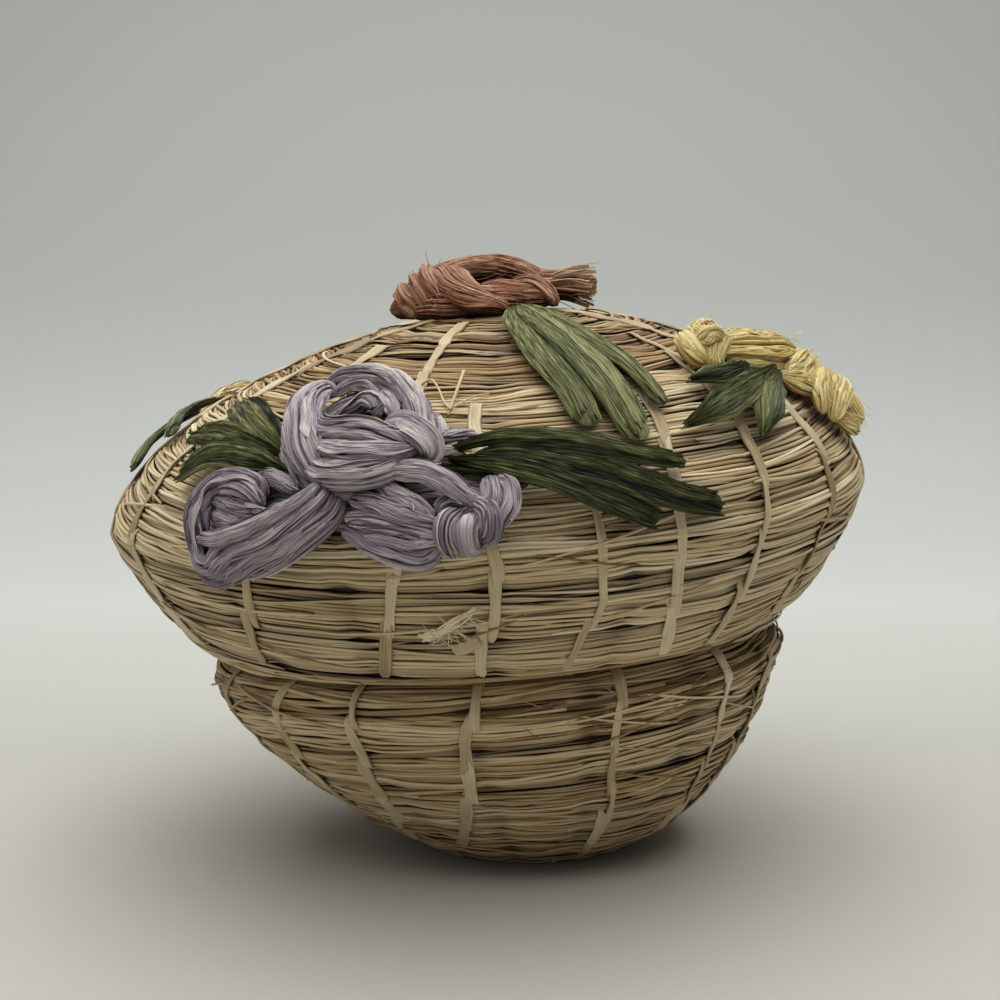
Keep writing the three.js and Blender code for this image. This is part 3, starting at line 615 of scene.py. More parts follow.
split_raffia = fibre_finish(
    "split raffia", steps=(
        (0.0, 146, 122, 82), (0.35, 186, 165, 124), (0.6, 208, 190, 150), (1.0, 234, 220, 186),
    ),
    dark=(70, 42, 16), streak=(0.25, 16.0), swings=(("Mottle", 0.3, 0.15), ("Streaks", 0.3, 0.2)),
    shade_range=(0.0, 1.0), rough=("Fine streaks", 0.45, 0.65), relief=(0.0, 0.5, 0.00015),
)
bowl_stitch_rng = np.random.default_rng(21)
for row in range(BOWL_ROWS):
    angle = 2 * math.pi * (row + BOWL_ROW_PHASE) / BOWL_ROWS
    stray = BOWL_STRAYS.get(row, tuple(bowl_stitch_rng.uniform(-6, 6, 2)))
    outer = stitches(
        bowl_stitch_rng, bowl_outside, settle_bowl, BOWL_COIL, angle, (BOWL_ROW_START, bowl_end - 1),
        STITCH_WIDTH, 0.5, stray,
    )
    inner = stitches(
        bowl_stitch_rng, bowl_inside, settle_bowl, BOWL_COIL, angle,
        (INNER_ROW_START, bowl_inside["length"] - 1), STITCH_WIDTH * 0.9, 0.1,
    )
    make_piece(
        f"bowl_stitches_{row + 1:02d}", outer + inner, split_raffia, "body",
        [f"body_stitches_{row + 1:02d}"], STITCH_CRISP,
    )
foot_stitches = []
for row in range(FOOT_ROWS):
    angle = 2 * math.pi * (row + 0.3) / FOOT_ROWS
    foot_stitches += stitches(
        bowl_stitch_rng, bowl_outside, settle_bowl, BOWL_COIL, angle, (6, FOOT_RADIUS + 4),
        FOOT_STITCH_WIDTH, 0.3,
    )
make_piece(
    "foot_stitches", foot_stitches, split_raffia, "body", ["body_stitches_01"], STITCH_CRISP,
)


# The lid's shape: a skirt that flares out over the bowl's shoulder and a full dome above it, whose
# top leans a little. It rests with its rounded edge on the stitches of the shoulder.
SEAT_INSET = 2.4
LID_FLARE = 22.4
SKIRT_HEIGHT = 32
SKIRT_FULLNESS = 0.33
DOME_HEIGHT = 48.5
DOME_ROUNDNESS = 1.79
DOME_LEAN = 6.4
LID_WALL = 5.5
STITCH_STAND = 1.1  # how far a stitch of the frame stands off its wall
TOUCH = 0.3

edge_radius = SHOULDER_RADIUS - SEAT_INSET
clear = LID_WALL / 2 + STITCH_STAND + TOUCH
upper = bowl_outside["points"][bowl_outside["points"][:, 1] >= SHOULDER_HEIGHT / 2]
below_edge = upper[np.abs(upper[:, 0] - edge_radius) < clear]
seat = (below_edge[:, 1] + np.sqrt(clear ** 2 - (below_edge[:, 0] - edge_radius) ** 2)).max()
slope = np.array([
    LID_FLARE * (1 - SKIRT_FULLNESS + SKIRT_FULLNESS * math.pi / 2), SKIRT_HEIGHT * (1 - SKIRT_FULLNESS),
])
slope /= np.linalg.norm(slope)
lid_mouth = np.array([edge_radius, seat - SEAT_HEIGHT]) + np.array([slope[1], -slope[0]]) * LID_WALL / 2
widest_height = lid_mouth[1] + SKIRT_HEIGHT
dome_turn = np.linspace(math.pi / 2, 0, 81)
dome = np.stack([
    (lid_mouth[0] + LID_FLARE) * np.cos(dome_turn).clip(0) ** (2 / DOME_ROUNDNESS),
    widest_height + DOME_HEIGHT * np.sin(dome_turn) ** (2 / DOME_ROUNDNESS),
], axis=1)
skirt = bulge(lid_mouth[0], LID_FLARE, SKIRT_HEIGHT, SKIRT_FULLNESS)[::-1][1:] + [0, lid_mouth[1]]
lid_outside = measured(np.concatenate([dome, skirt]), -1)
lid_inside = inside_of(lid_outside, LID_WALL)


def place_lid(points):
    """Where a point of the true round lid lies on the basket."""
    share = np.clip((points[..., 2:] - widest_height) / DOME_HEIGHT, 0, 1)
    return tilt(points + share * [DOME_LEAN, 0, 0])


# Straw of the lid, wound from the top of the dome to its edge. Its bundle is thicker than the
# bowl's, with more flat blades, and looser on the dome, where stalks cross each other.
LID_COIL = 14.5
LID_LANES = 14
LID_ROWS = 18
LID_ROW_PHASE = 0.5
LID_INNER_LANES = 10
LID_DROOP = 12  # the lid's coils dip towards the front
DOME_BREAK = 62  # where the looser straw of the dome gives way to that of the shoulder
SKIRT_START = 98
# The lid's straw is set lighter than the bowl's, a painted light on its sides, and the dome's darker, a
# painted shade on the top that faces the light above.
LID_STALKS = dict(UNDER_STALKS, droop=LID_DROOP, tones=(0.66, 0.13))
SKIRT_STALKS = dict(UPPER_STALKS, droop=LID_DROOP, tones=(0.7, 0.17))
DOME_UNDER_STALKS = dict(LID_STALKS, tones=(0.28, 0.14))  # the dome's straw is set darker than the skirt's, a painted shade
DOME_STALKS = dict(
    SKIRT_STALKS, blades=0.16, width=(0.9, 1.3), blade_width=(1.4, 2.1), sway=2.6, spacing=1.7,
    tones=(0.3, 0.16),
)
lid_rng = np.random.default_rng(31)
lid_winding = (lid_outside, place_lid, LID_COIL, LID_LANES, LID_ROWS, LID_ROW_PHASE)
lid_lining = (lid_inside, place_lid, LID_COIL, LID_INNER_LANES, LID_ROWS, LID_ROW_PHASE)
lid_end = lid_outside["length"] + LID_DROOP
for title, winding, layer, reach in (
    ("dome_straw", lid_winding, DOME_UNDER_STALKS, (2, DOME_BREAK + 2)),
    ("shoulder_straw", lid_winding, LID_STALKS, (DOME_BREAK - 2, SKIRT_START + 2)),
    ("skirt_straw", lid_winding, LID_STALKS, (SKIRT_START - 2, lid_end)),
    ("dome_loose_straw", lid_winding, DOME_STALKS, (6, DOME_BREAK + 3)),
    ("skirt_loose_straw", lid_winding, SKIRT_STALKS, (DOME_BREAK - 3, lid_end - 1)),
    ("lid_inner_straw", lid_lining, INNER_STALKS, (2, lid_inside["length"])),
):
    stalks = wound_stalks(lid_rng, *winding, layer, reach)
    make_piece(title, stalks, straw, "lid", ["lid_coil"])
lid_rim = rim_stalks(lid_rng, lid_outside, lid_inside, place_lid, LID_WALL, RIM_STALKS)
make_piece("lid_rim_straw", lid_rim, straw, "lid", ["lid_coil"])
packed_core("lid_core", lid_outside, lid_inside, place_lid, straw, "lid", ["lid_coil"])


# Stitches of the lid: strips of the same split raffia, longer than the bowl's, in rows from the top
# of the dome to the edge. Every second row starts further down, where the coils get long enough.
LONG_ROW_START = 13
SHORT_ROW_START = 38
LOW_ROW, LOW_ROW_START = 13, 80  # this row starts low on the front
DOUBLE_ROW, DOUBLE_ROW_STRAY = 14, (-10.5, -7, -12)  # this one has a second row beside it on the skirt
LID_STRAYS = {  # how far the rows in view stray sideways, where the photo shows it
    11: (0, 4, 10.5, -8), 12: (0, 4, 17, -1.5), 13: (-3.4, 2, -4), 14: (0, 8, 9, 14), 15: (4, 0), 16: (0, -7),
}
lid_stitch_rng = np.random.default_rng(41)
for row in range(LID_ROWS):
    angle = 2 * math.pi * (row + LID_ROW_PHASE) / LID_ROWS
    start = LOW_ROW_START if row == LOW_ROW else SHORT_ROW_START if row % 2 else LONG_ROW_START
    stray = LID_STRAYS.get(row, tuple(lid_stitch_rng.uniform(-4, 4, 2)))
    outer = stitches(
        lid_stitch_rng, lid_outside, place_lid, LID_COIL, angle, (start, lid_outside["length"] - 1),
        STITCH_WIDTH, 0.5, stray, LID_DROOP,
    )
    inner = stitches(
        lid_stitch_rng, lid_inside, place_lid, LID_COIL, angle, (start, lid_inside["length"] - 1),
        STITCH_WIDTH * 0.9, 0.1,
    )
    if row == DOUBLE_ROW:
        double_reach = (SKIRT_START + 4, lid_outside["length"] - 1)
        outer += stitches(
            lid_stitch_rng, lid_outside, place_lid, LID_COIL, angle, double_reach,
            STITCH_WIDTH, 0.5, DOUBLE_ROW_STRAY, LID_DROOP,
        )
    make_piece(
        f"lid_stitches_{row + 1:02d}_raffia", outer + inner, split_raffia, "lid",
        [f"lid_stitches_{row + 1:02d}"], STITCH_CRISP,
    )


# Lavender flowers. Three rosettes, each of a few wide bunches of dyed raffia that are looped, folded
# over each other and knotted down to the lid. A bunch is gathered from satiny creased ribbons.
BUNCH_CRISP = 38
RIBBON_SECTION = np.array([
    (-1, 0), (-0.5, -0.5), (0.5, -0.5), (1, 0), (0.86, 0.65), (0.68, 0.25), (0.48, 0.9), (0.27, 0.3),
    (0.06, 0.8), (-0.13, 0.2), (-0.34, 0.95), (-0.55, 0.3), (-0.75, 0.75), (-0.9, 0.3),
])


def crumpled(rng, run, amount=0.3):
    """The section of a ribbon along its run, with creases that rise, sink and wander sideways."""
    around = len(RIBBON_SECTION)
    lengths = rng.uniform(5, 16, (2, 1, around))
    phases = rng.uniform(0, 6.3, (2, 1, around))
    turns = 2 * math.pi * run[None, :, None] / lengths + phases
    section = np.repeat(RIBBON_SECTION[None], len(run), axis=0)
    section[:, :, 1] += amount * np.sin(turns[0]) * np.linspace(0, 1, around).clip(0, 0.5) * 2
    section[:, 1:, 0] += 0.07 * np.sin(turns[1, :, 1:])
    return section


def on_lid(degrees, reach, lift):
    """A place on the lid, by its angle, the distance from the top and the height off the straw."""
    spot = np.array([[math.radians(degrees)], [reach], [lift]], float)
    point, out = on_wall(lid_outside, place_lid, *spot)
    return np.concatenate([point[0], out[0]])


def beside(middle, across, down, lift):
    """A place by a flower's middle: across to its right, down towards the edge of the lid."""
    degrees, reach = middle
    radius = at(lid_outside, reach)[0][0]
    return on_lid(degrees + math.degrees(across / radius), reach + down, lift)


def smooth(places, gap=1.0):
    """A smooth route through these places, with a point every gap or so."""
    places = np.array(places)
    padded = np.concatenate([[2 * places[0] - places[1]], places, [2 * places[-1] - places[-2]]])
    route = []
    for before, start, stop, after in zip(padded, padded[1:], padded[2:], padded[3:]):
        count = max(3, int(np.linalg.norm(stop[:3] - start[:3]) / gap))
        t = np.linspace(0, 1, count, endpoint=False)[:, None]
        bend = 2 * before - 5 * start + 4 * stop - after
        twist = 3 * start - before - 3 * stop + after
        route.append(start + (t * (stop - before) + t ** 2 * bend + t ** 3 * twist) / 2)
    route = np.concatenate(route + [places[-1:]])
    return route[:, :3], route[:, 3:]


def pleated(rng, run, folds, twist, loose):
    """The section of a gathered bunch along its run, how deep each point lies in a pleat and how
    light its pleat is. Pleats run along the bunch, wander if loose, and close up here and there."""
    turn = np.linspace(0, 2 * math.pi, 7 * folds, endpoint=False)[None] + np.zeros((len(run), 1))
    sunk, tone = np.zeros(turn.shape), np.full(turn.shape, 0.5)
    for count, depth, drift in ((folds, 0.3, 0.5), (2 * folds + 1, 0.13, 0.9)):
        path = loose * drift * wave(rng, run, (17, 40)) + twist * run / run[-1] * count / (2 * math.pi)
        place = turn * count / (2 * math.pi) + 0.3 * np.sin(3 * turn + rng.uniform(0, 6.3)) + path[:, None]
        deep = depth * (0.75 + 0.35 * np.sin(3.7 * turn + loose * run[:, None] / 5 + rng.uniform(0, 6.3)))
        sunk += deep * np.abs(2 * (place % 1) - 1) ** 3
        tone += rng.normal(0, 0.07, count)[np.floor(place).astype(int) % count]
    section = np.stack([np.cos(turn) * (1 - sunk), np.sin(turn) * (1 - sunk)], axis=-1)
    return section, sunk, tone


def gathered(
    rng, places, wide, tall, folds, twist=0.0, ends=(0.6, 0.6), ragged=1.5, crease=1.0, light=0.0, loose=1.0,
    point=0.33,
):
    """A bunch round a route, flat oval in section and drawn in at its ends: a pleated skin with a
    few ribbons over it. What faces down or lies deep in a pleat is painted in shade. Ends are the widths
    at both ends as shares of the full one, and point is how long the rounding of an end is."""
    points, outs = smooth(places, 0.8)
    ahead = np.gradient(points, axis=0)
    ahead /= np.linalg.norm(ahead, axis=1)[:, None]
    across = np.cross(ahead, outs)
    across /= np.linalg.norm(across, axis=1)[:, None]
    up = np.cross(across, ahead)
    run = run_of(points)
    share = run / run[-1]
    swell = np.interp(share, (0, 0.3, 0.7, 1), (ends[0], 1, 1, ends[1]))
    from_end = np.clip(np.minimum(run, run[-1] - run) / (wide * point), 0, 1)
    swell = swell * np.sqrt(np.clip(1 - (1 - from_end) ** 2, 0.03, 1))
    half_wide, half_tall = wide / 2 * swell, tall / 2 * swell
    section, sunk, tone = pleated(rng, run, folds, twist, loose)
    tone = tone + light
    # Painted shade on the underside of the bunch and deep in its pleats.
    painted_underside_shade = np.clip(-0.1 - section[..., 1], 0, 1) * 1.2
    made = [strand(
        points, outs, 2 * half_wide, 2 * half_tall * crease, section, tone, rng.random() * NUMBERS,
        shade=np.clip(3.0 * sunk + painted_underside_shade, 0, 1),
    )]
    girth = math.pi * (wide + tall) / 2 / folds
    for _ in range(max(3, folds // 2)):
        turn = math.pi * rng.uniform(-0.05, 1.05) + twist * share + 0.16 * loose * wave(rng, run, (11, 26))
        aside, above = np.cos(turn)[:, None], np.sin(turn)[:, None]
        depth = 0.93 + 0.06 * wave(rng, run, (8, 17))
        spot = points + across * aside * (half_wide * depth)[:, None]
        spot = spot + up * above * (half_tall * depth)[:, None]
        out = across * aside / wide + up * above / tall
        first = int(rng.uniform(0, max(ragged, 0.35 * len(points))))
        last = len(points) - int(rng.uniform(0, max(ragged, 0.35 * len(points))))
        if last - first < 6:
            continue
        kept = slice(first, last)
        ends_in = np.minimum(run[kept] - run[first], run[last - 1] - run[kept])
        made.append(strand(
            spot[kept], out[kept],
            girth * rng.uniform(0.9, 1.9) * swell[kept] * np.clip(ends_in / END_TAPER + 0.25, 0, 1),
            girth * rng.uniform(0.25, 0.4), crumpled(rng, run[kept]), rng.normal(0.5, 0.12) + light,
            rng.random() * NUMBERS, roll=rng.normal(0, 0.3) + 0.25 * wave(rng, run[kept], (14, 31)),
            flank=0.4,
        ))
    return made


def stray_fibres(rng, places, spread, count):
    """Fine hairs of torn raffia that stand off a bunch along its route."""
    points, outs = smooth(places, 0.7)
    made = []
    for _ in range(count):
        first = rng.integers(0, max(1, len(points) - 5))
        last = min(len(points), first + rng.integers(5, 13))
        share = np.linspace(0, 1, last - first)[:, None]
        aside = rng.normal(0, 0.5, 3)
        away = outs[first:last] * (spread - 0.2 + rng.uniform(0.2, 1.1) * share ** 2)
        made.append(strand(
            points[first:last] + away + aside * (0.5 + 1.5 * share ** 2), outs[first:last],
            rng.uniform(0.1, 0.2), 0.1, PLAIN_SECTION, rng.normal(0.7, 0.1), rng.random() * NUMBERS,
        ))
    return made


def dyed_raffia(name, steps, dark, streak, relief, rough):
    """Dyed raffia: satiny, in fine streaks of lighter and darker dye, with a relief of creases."""
    swings = (("Mottle", 0.3, 0.15), ("Streaks", 0.3, 0.22), ("Fine streaks", 0.3, 0.22))
    roughness = ("Streaks", rough - 0.08, rough + 0.1)
    # Its dark colour is painted shade, laid in by the shade mark.
    return fibre_finish(name, steps, dark, streak, swings, (0.05, 0.85), roughness, (0.45, 0.9, relief))


def flower(name, middle, bunches, seed, finish, nodes, fuzz=2, loose=1.0, light=0.0):
    """A flower of bunches, each given as width, thickness, number of folds, twist and route. Its
    places are beside its middle, or on the lid where it has none."""
    rng = np.random.default_rng(seed)
    made = []
    for wide, tall, folds, twist, route in bunches:
        places = [beside(middle, *place) if middle else on_lid(*place) for place in route]
        made += gathered(rng, places, wide, tall, folds, twist, light=light, loose=loose)
        made += stray_fibres(rng, places, tall / 2, fuzz)
    return make_piece(name, made, finish, "lid", nodes, BUNCH_CRISP)


lavender = dyed_raffia(
    "lavender raffia", steps=(
        (0.0, 94, 78, 94), (0.22, 134, 120, 132), (0.45, 174, 161, 167), (0.7, 208, 197, 193),
        (1.0, 242, 233, 224),
    ),
    dark=(28, 12, 26), streak=(0.32, 14.0), relief=0.0004, rough=0.38,
)

ROSE_UPPER = (-111, 83)
ROSE_LEFT = (-120, 105)
ROSE_RIGHT = (-98, 105)
flower("lavender_flower_upper", ROSE_UPPER, (
    (8, 4, 9, 0, [
        (-12, 0, 2.5), (-8, 8, 2.5), (2, 12, 2.5), (11, 10, 2.5), (13, 2, 2.5), (6, -7, 2.5), (-6, -7, 2.5),
        (-12, 0, 2.5),
    ]),
    (7, 3, 8, 0, [(-7, 0, 2.5), (7, 4, 2.5)]),
    (3, 3, 6, 0.4, [(16, -1, 4), (18.5, 4.5, 3.5), (18.5, 10, 3)]),
    (5.5, 6, 11, 0.5, [
        (-14.5, -10.5, 4.5), (-9.5, -12, 6.5), (-0.5, -10, 7.5), (7.5, -6, 8), (13, 1, 8), (15.5, 7, 7.5),
        (16, 11, 6), (15, 12.5, 4),
    ]),
    (4, 4, 8, 0.4, [(-10, -7.5, 5), (-6, -9.5, 6), (1, -7.5, 6.5), (6.5, -2.5, 6.5), (10.5, 3, 6)]),
    (5, 4, 8, 0, [(-16, 3.5, 4), (-10, 10.5, 4.5), (-5.5, 15, 4.5), (-1, 18, 3.5)]),
    (5.5, 5, 9, 0, [(-3, 16, 4.5), (3, 18, 5.5), (8, 17, 5.5), (12, 15, 5)]),
    (6.5, 6, 11, 0.3, [
        (-5.5, 13, 6.5), (0.5, 16.5, 8.5), (6, 17.5, 9.5), (11.5, 16.5, 9.5), (15.5, 13.5, 8),
    ]),
    (5, 5, 9, 0.3, [(-4.5, 10, 8), (2, 13, 10.5), (8.5, 14, 11.5), (13.5, 14, 11), (16, 12, 8.5)]),
    (5.5, 4.5, 10, -0.3, [
        (-10, -0.5, 6), (-4, 6.5, 9), (3.5, 8.5, 11), (9.5, 10.5, 11.5), (14, 12, 10.5), (15.5, 11.5, 8),
    ]),
    (5, 4, 8, 2.0, [(-6, -1.5, 4), (-0.5, -0.5, 7), (3, 0, 9.5), (5.5, 1.5, 9), (4.5, 2, 7)]),
    (3.5, 3.5, 7, 0.5, [(3.5, -5, 7), (8, 1, 8), (10.5, 5, 7.5)]),
    (8.5, 5, 13, 0.2, [
        (-9, -7, 5), (-11, -6, 8), (-11, -1, 9.5), (-9, 5, 10), (-6, 10.5, 10), (-3, 14.5, 8.5),
        (-1, 16.5, 5),
    ]),
    (5.5, 4, 10, 0.3, [
        (8.5, 8.5, 10.5), (12.5, 9, 12), (16.5, 11.5, 12), (18.5, 13.5, 9.5), (17.5, 14.5, 6),
    ]),
    (3, 2.5, 6, 0.3, [(17.5, 8, 5), (22, 7, 5), (26, 6, 3.5)]),
    (3, 2.5, 6, 0.3, [(18, 10.5, 4.5), (21.5, 10.5, 4.5), (24, 11, 3.5)]),
), 51, lavender, ["lavender_rosette_upper"])
# The left flower is set darker than the upper one, a painted shade on its side away from the light.
flower("lavender_flower_left", ROSE_LEFT, (
    (7, 3.5, 8, 0, [(-12, 0, 2.5), (-8, 5, 2.5), (2, 4, 2.5), (10, 0, 2.5), (4, -3, 2.5), (-8, -3, 2.5)]),
    (4, 4, 8, 0.4, [(-4.5, -7, 5), (2.5, -5.5, 6), (8.5, -3.5, 6)]),
    (3.6, 3.5, 7, 0, [(-14.5, -5.5, 4), (-16.6, 0.5, 3.5), (-16, 5.5, 3.5), (-13, 10.5, 3)]),
    (4.5, 5, 10, 0.6, [
        (1, -2, 6), (0, -4, 8), (-4.5, -5, 9), (-10, -4.5, 8.5), (-13.5, -2.5, 8),
        (-14.8, 1, 7.5), (-14.7, 4.5, 6.5), (-13.8, 8, 5),
    ]),
    (4.5, 4.5, 9, 1.2, [(-13, -2.5, 6), (-7.5, -3.5, 8), (-1.5, -2.5, 9), (2, -0.5, 7)]),
    (3.5, 3.5, 7, 0.4, [(-13.5, -2.5, 6), (-13.5, 1, 7), (-12, 4.5, 6)]),
    (3.8, 3.5, 8, 0.3, [(-13, -2, 6), (-2.5, 0.5, 8), (5.5, 1.5, 8.5)]),
    (3.8, 3.5, 8, 0.3, [(-12.5, 0.5, 5), (-4, 2.5, 7), (1.5, 3, 7.5)]),
    (4, 4, 8, 0, [(-6.5, 11.5, 2.5), (4.5, 8.5, 4), (12.5, 5.5, 4.5), (18, 1, 4.5), (18, -2.5, 4)]),
    (5, 4.5, 9, 0.3, [
        (-15.6, 4.5, 4), (-13, 10, 4.5), (-8, 10.3, 5), (1, 8, 6.5), (8.5, 6, 8), (13.5, 3.5, 8),
        (17, 0.5, 7), (17, -3, 6),
    ]),
    (5, 4.5, 9, 0.3, [
        (-14.8, 2.5, 5.5), (-13.2, 8, 5.5), (-8.5, 8.3, 6.5), (-3.5, 7, 8), (4.5, 5.5, 9.5), (10.5, 3, 10),
        (14.5, 0, 9.5),
        (15.5, -3, 8),
    ]),
    (4.5, 4.5, 9, 0.3, [
        (-13.5, 5, 6), (-6, 5, 8.5), (1.5, 4, 10), (7.5, 2, 10.5), (12.5, -0.5, 10.5), (14.5, -3.5, 9),
    ]),
), 52, lavender, ["lavender_rosette_left"], light=-0.14)
# The right flower is set a little darker than the upper one, a painted shade.
flower("lavender_flower_right", ROSE_RIGHT, (
    (7, 3.5, 8, 0, [(-13, 0, 2.5), (-4, 5, 2.5), (6, 4, 2.5), (12, 0, 2.5), (4, -3, 2.5), (-8, -3, 2.5)]),
    (4.5, 4, 8, 0.3, [(-10.5, -7, 5), (-7, -8, 6.5), (-1.5, -7.5, 7)]),
    (4, 4, 8, 0.3, [(-9.5, -2.5, 5), (-5, 0.5, 6), (0, 2.5, 7)]),
    (4.5, 4, 9, 0.3, [(-10.5, -4.5, 6), (-6, -2, 7), (-1, 0.5, 8), (3, 3, 9)]),
    (5, 4.5, 9, 0.2, [(-16.5, 3, 3), (-10.5, 5.5, 4.5), (-4.5, 7.5, 6), (1.5, 8, 7), (5.5, 6.5, 8)]),
    (4, 4, 8, 0.2, [(-12.5, 4, 4.5), (-5.5, 5.5, 6.5), (0.5, 6.5, 8), (5.5, 6, 9)]),
    (4.5, 4, 9, 0.2, [(-15.5, 1.5, 5.5), (-9, 2.5, 7), (-2, 4, 8.5), (5, 5.5, 9.5)]),
    (4.5, 4, 9, 0.2, [(-15, -1.5, 6), (-9, 0, 7.5), (-2.5, 2.5, 9), (4, 4, 10)]),
    (5, 4.5, 10, 0.4, [
        (-9, -5, 7), (-6, -5.5, 9), (-0.5, -4.5, 10), (4.5, -2.5, 10), (8.5, 0, 9.5), (11, 1.5, 9),
    ]),
    (2.5, 3, 6, 0.4, [(3, 2.5, 7), (4, 0.5, 7.5), (7, -0.5, 7.5), (11, 1, 8)]),
    (4, 3, 8, 0.2, [(12.5, -4.5, 6), (13.5, -0.5, 9), (13.5, 2.5, 11)]),
    (4, 3, 8, 0.2, [(14, -4, 5), (15, -0.5, 7), (14.5, 3.5, 10)]),
    (4, 3.5, 8, 0.2, [(14.5, -4.5, 6), (16.8, -1.5, 8), (17, 2, 9), (15, 5, 9)]),
    (5, 5, 10, 0.2, [(10.5, 0.5, 8.5), (13, 3, 11.5), (13.5, 5.5, 11), (12, 6.5, 7)]),
    (4.5, 4, 9, 0.2, [(10, 3, 9), (9.5, 5, 12.5), (10, 7, 11), (11.5, 7.5, 7)]),
    (5, 4, 10, 0.2, [(7.5, 2, 8), (6, 4, 12), (6, 6, 12), (7.5, 8, 6)]),
), 53, lavender, ["lavender_rosette_right"], light=-0.08)


# Leaves. Narrow ribbons of green raffia, laid side by side over a flat bunch of the same, gathered
# and tied under a flower, and pressed flat. The large ones end ragged, the yellow flower's in a point.
leaf_green = dyed_raffia(
    "green raffia", steps=(
        (0.0, 20, 25, 5), (0.25, 48, 56, 20), (0.5, 84, 90, 42), (0.75, 122, 126, 72), (1.0, 164, 162, 110),
    ),
    dark=(12, 13, 2), streak=(0.2, 18.0), relief=0.0003, rough=0.6,
)


def leaf(name, seed, wide, route, node, light=0.0, tip=0.75):
    """A leaf: straight ribbons side by side, narrow at the flower, that spread down it and end ragged,
    or run together in a point if the tip is small."""
    rng = np.random.default_rng(seed)
    pointed = tip < 0.5
    places = [on_lid(*place) for place in route]
    made = gathered(
        rng, places, 0.9 * wide, 1.7, int(wide * 3), 0.0, ends=(0.2, tip), ragged=4, crease=0.9,
        light=light - 0.1, loose=0.15, point=1.3 if pointed else 0.35,
    )
    points, outs = smooth(places, 0.8)
    across = np.cross(np.gradient(points, axis=0), outs)
    across /= np.linalg.norm(across, axis=1)[:, None]
    run = run_of(points)
    full_from = 0.5 if pointed else 0.3
    spread = np.interp(run / run[-1], (0, full_from, 0.7, 1), (0.16, 0.92, 1, tip))
    count = round(1.15 * wide)
    for aside in np.linspace(-0.86, 0.86, count):
        last = len(points) - int(rng.uniform(0, 3 + 5 * tip))
        drift = aside + 0.06 * wave(rng, run, (41, 24))
        rise = 0.85 * math.sqrt(1 - aside ** 2) + rng.uniform(-0.1, 0.2)
        spot = points + across * (drift * spread * wide / 2)[:, None] + outs * rise
        ends_in = np.minimum(run + 1.5, run[last - 1] - run).clip(0)
        made.append(strand(
            spot[:last], outs[:last] + 0.5 * aside * across[:last],
            (wide / count * rng.uniform(1.1, 1.9) * spread * np.clip(ends_in / END_TAPER + 0.3, 0, 1))[:last],
            0.6, crumpled(rng, run[:last], 0.25), rng.normal(0.52, 0.17) + light, rng.random() * NUMBERS,
            roll=rng.normal(0, 0.2), flank=0.7,
        ))
    return make_piece(name, made, leaf_green, "lid", [node], BUNCH_CRISP)


leaf("lavender_left_leaf_a", 61, 9.5, [
    (-121, 91, 3.6), (-128, 85.5, 4.8), (-134, 81, 4.5), (-144, 75.5, 3.2),
], "lavender_leaf_left_1", 0.14)
leaf("lavender_left_leaf_b", 62, 8.0, [
    (-121, 92.5, 4.5), (-129.5, 89.5, 5.5), (-137, 87, 5), (-148, 86.5, 3.2),
], "lavender_leaf_left_2", 0.12)
leaf("lavender_left_leaf_c", 63, 8.5, [
    (-118, 97, 4.5), (-123.5, 95, 6.5), (-129, 93.5, 6.5), (-134.5, 93.5, 5.6), (-141, 97, 3.2),
], "lavender_leaf_left_3", 0.1)
leaf("lavender_left_leaf_stub", 60, 3.4, [
    (-97, 97.5, 3.5), (-93, 98.5, 4.2), (-89, 100, 4.2), (-85, 101.5, 3.4),
], "lavender_leaf_right_3", -0.1)
leaf("lavender_right_leaf_a", 64, 5.0, [
    (-97, 94, 4), (-91, 92.5, 6), (-84, 93, 6.4), (-77, 95, 6), (-70, 98, 4.6), (-63, 99.5, 2.6),
], "lavender_leaf_right_1", -0.1)
leaf("lavender_right_leaf_b", 65, 7.5, [
    (-94.5, 98, 4), (-89.5, 95.5, 5.6), (-82.5, 98, 5.6), (-76, 101, 5.6), (-70.5, 104, 4.6), (-65, 107, 3.6),
    (-58.5, 109.5, 2.2),
], "lavender_leaf_right_2", -0.14)
leaf("lavender_right_leaf_c", 66, 7.0, [
    (-95.5, 96, 5), (-89.5, 98, 6.6), (-84, 100.5, 6.6), (-79, 103.5, 5.6), (-73.5, 107, 4),
    (-68, 110.5, 2.2),
], "lavender_leaf_right_3", -0.17)
leaf("coral_leaf_a", 67, 9.5, [
    (-74, 14, 0.5), (-81.5, 31, 2.0), (-81.5, 48, 2.6), (-79.5, 63.5, 2.6), (-77, 76, 2.3), (-75.5, 87, 1.8),
], "coral_leaf_1", 0.22)
leaf("coral_leaf_b", 68, 11.0, [
    (-68, 14, 0.8), (-76, 32, 2.4), (-74, 51, 3.2), (-71.5, 67, 3.2), (-70, 79.5, 2.7), (-68.5, 92.5, 1.8),
], "coral_leaf_2", 0.25)
leaf("coral_leaf_c", 69, 6.0, [
    (-62, 14, 0.8), (-70, 33, 2.4), (-67, 52, 2.7), (-64.5, 64, 2.7), (-63, 74, 2.4), (-62, 83, 1.8),
], "coral_leaf_3", 0.16)
leaf("yellow_leaf_a", 70, 6.4, [
    (-35, 73.5, 3.4), (-42, 76, 3.8), (-49, 76.8, 3.4), (-54.5, 76.5, 2),
], "yellow_leaf_1", 0.04, 0.15)
leaf("yellow_leaf_b", 71, 8.0, [
    (-32, 78.5, 4.4), (-46, 84, 4.9), (-54.5, 88, 3.9), (-61.5, 91, 2),
], "yellow_leaf_2", 0.1, 0.15)
leaf("yellow_leaf_c", 72, 9.2, [
    (-32, 80, 4), (-41, 85.5, 4.4), (-45.5, 91, 3.9), (-48, 96, 2),
], "yellow_leaf_3", 0.06, 0.15)
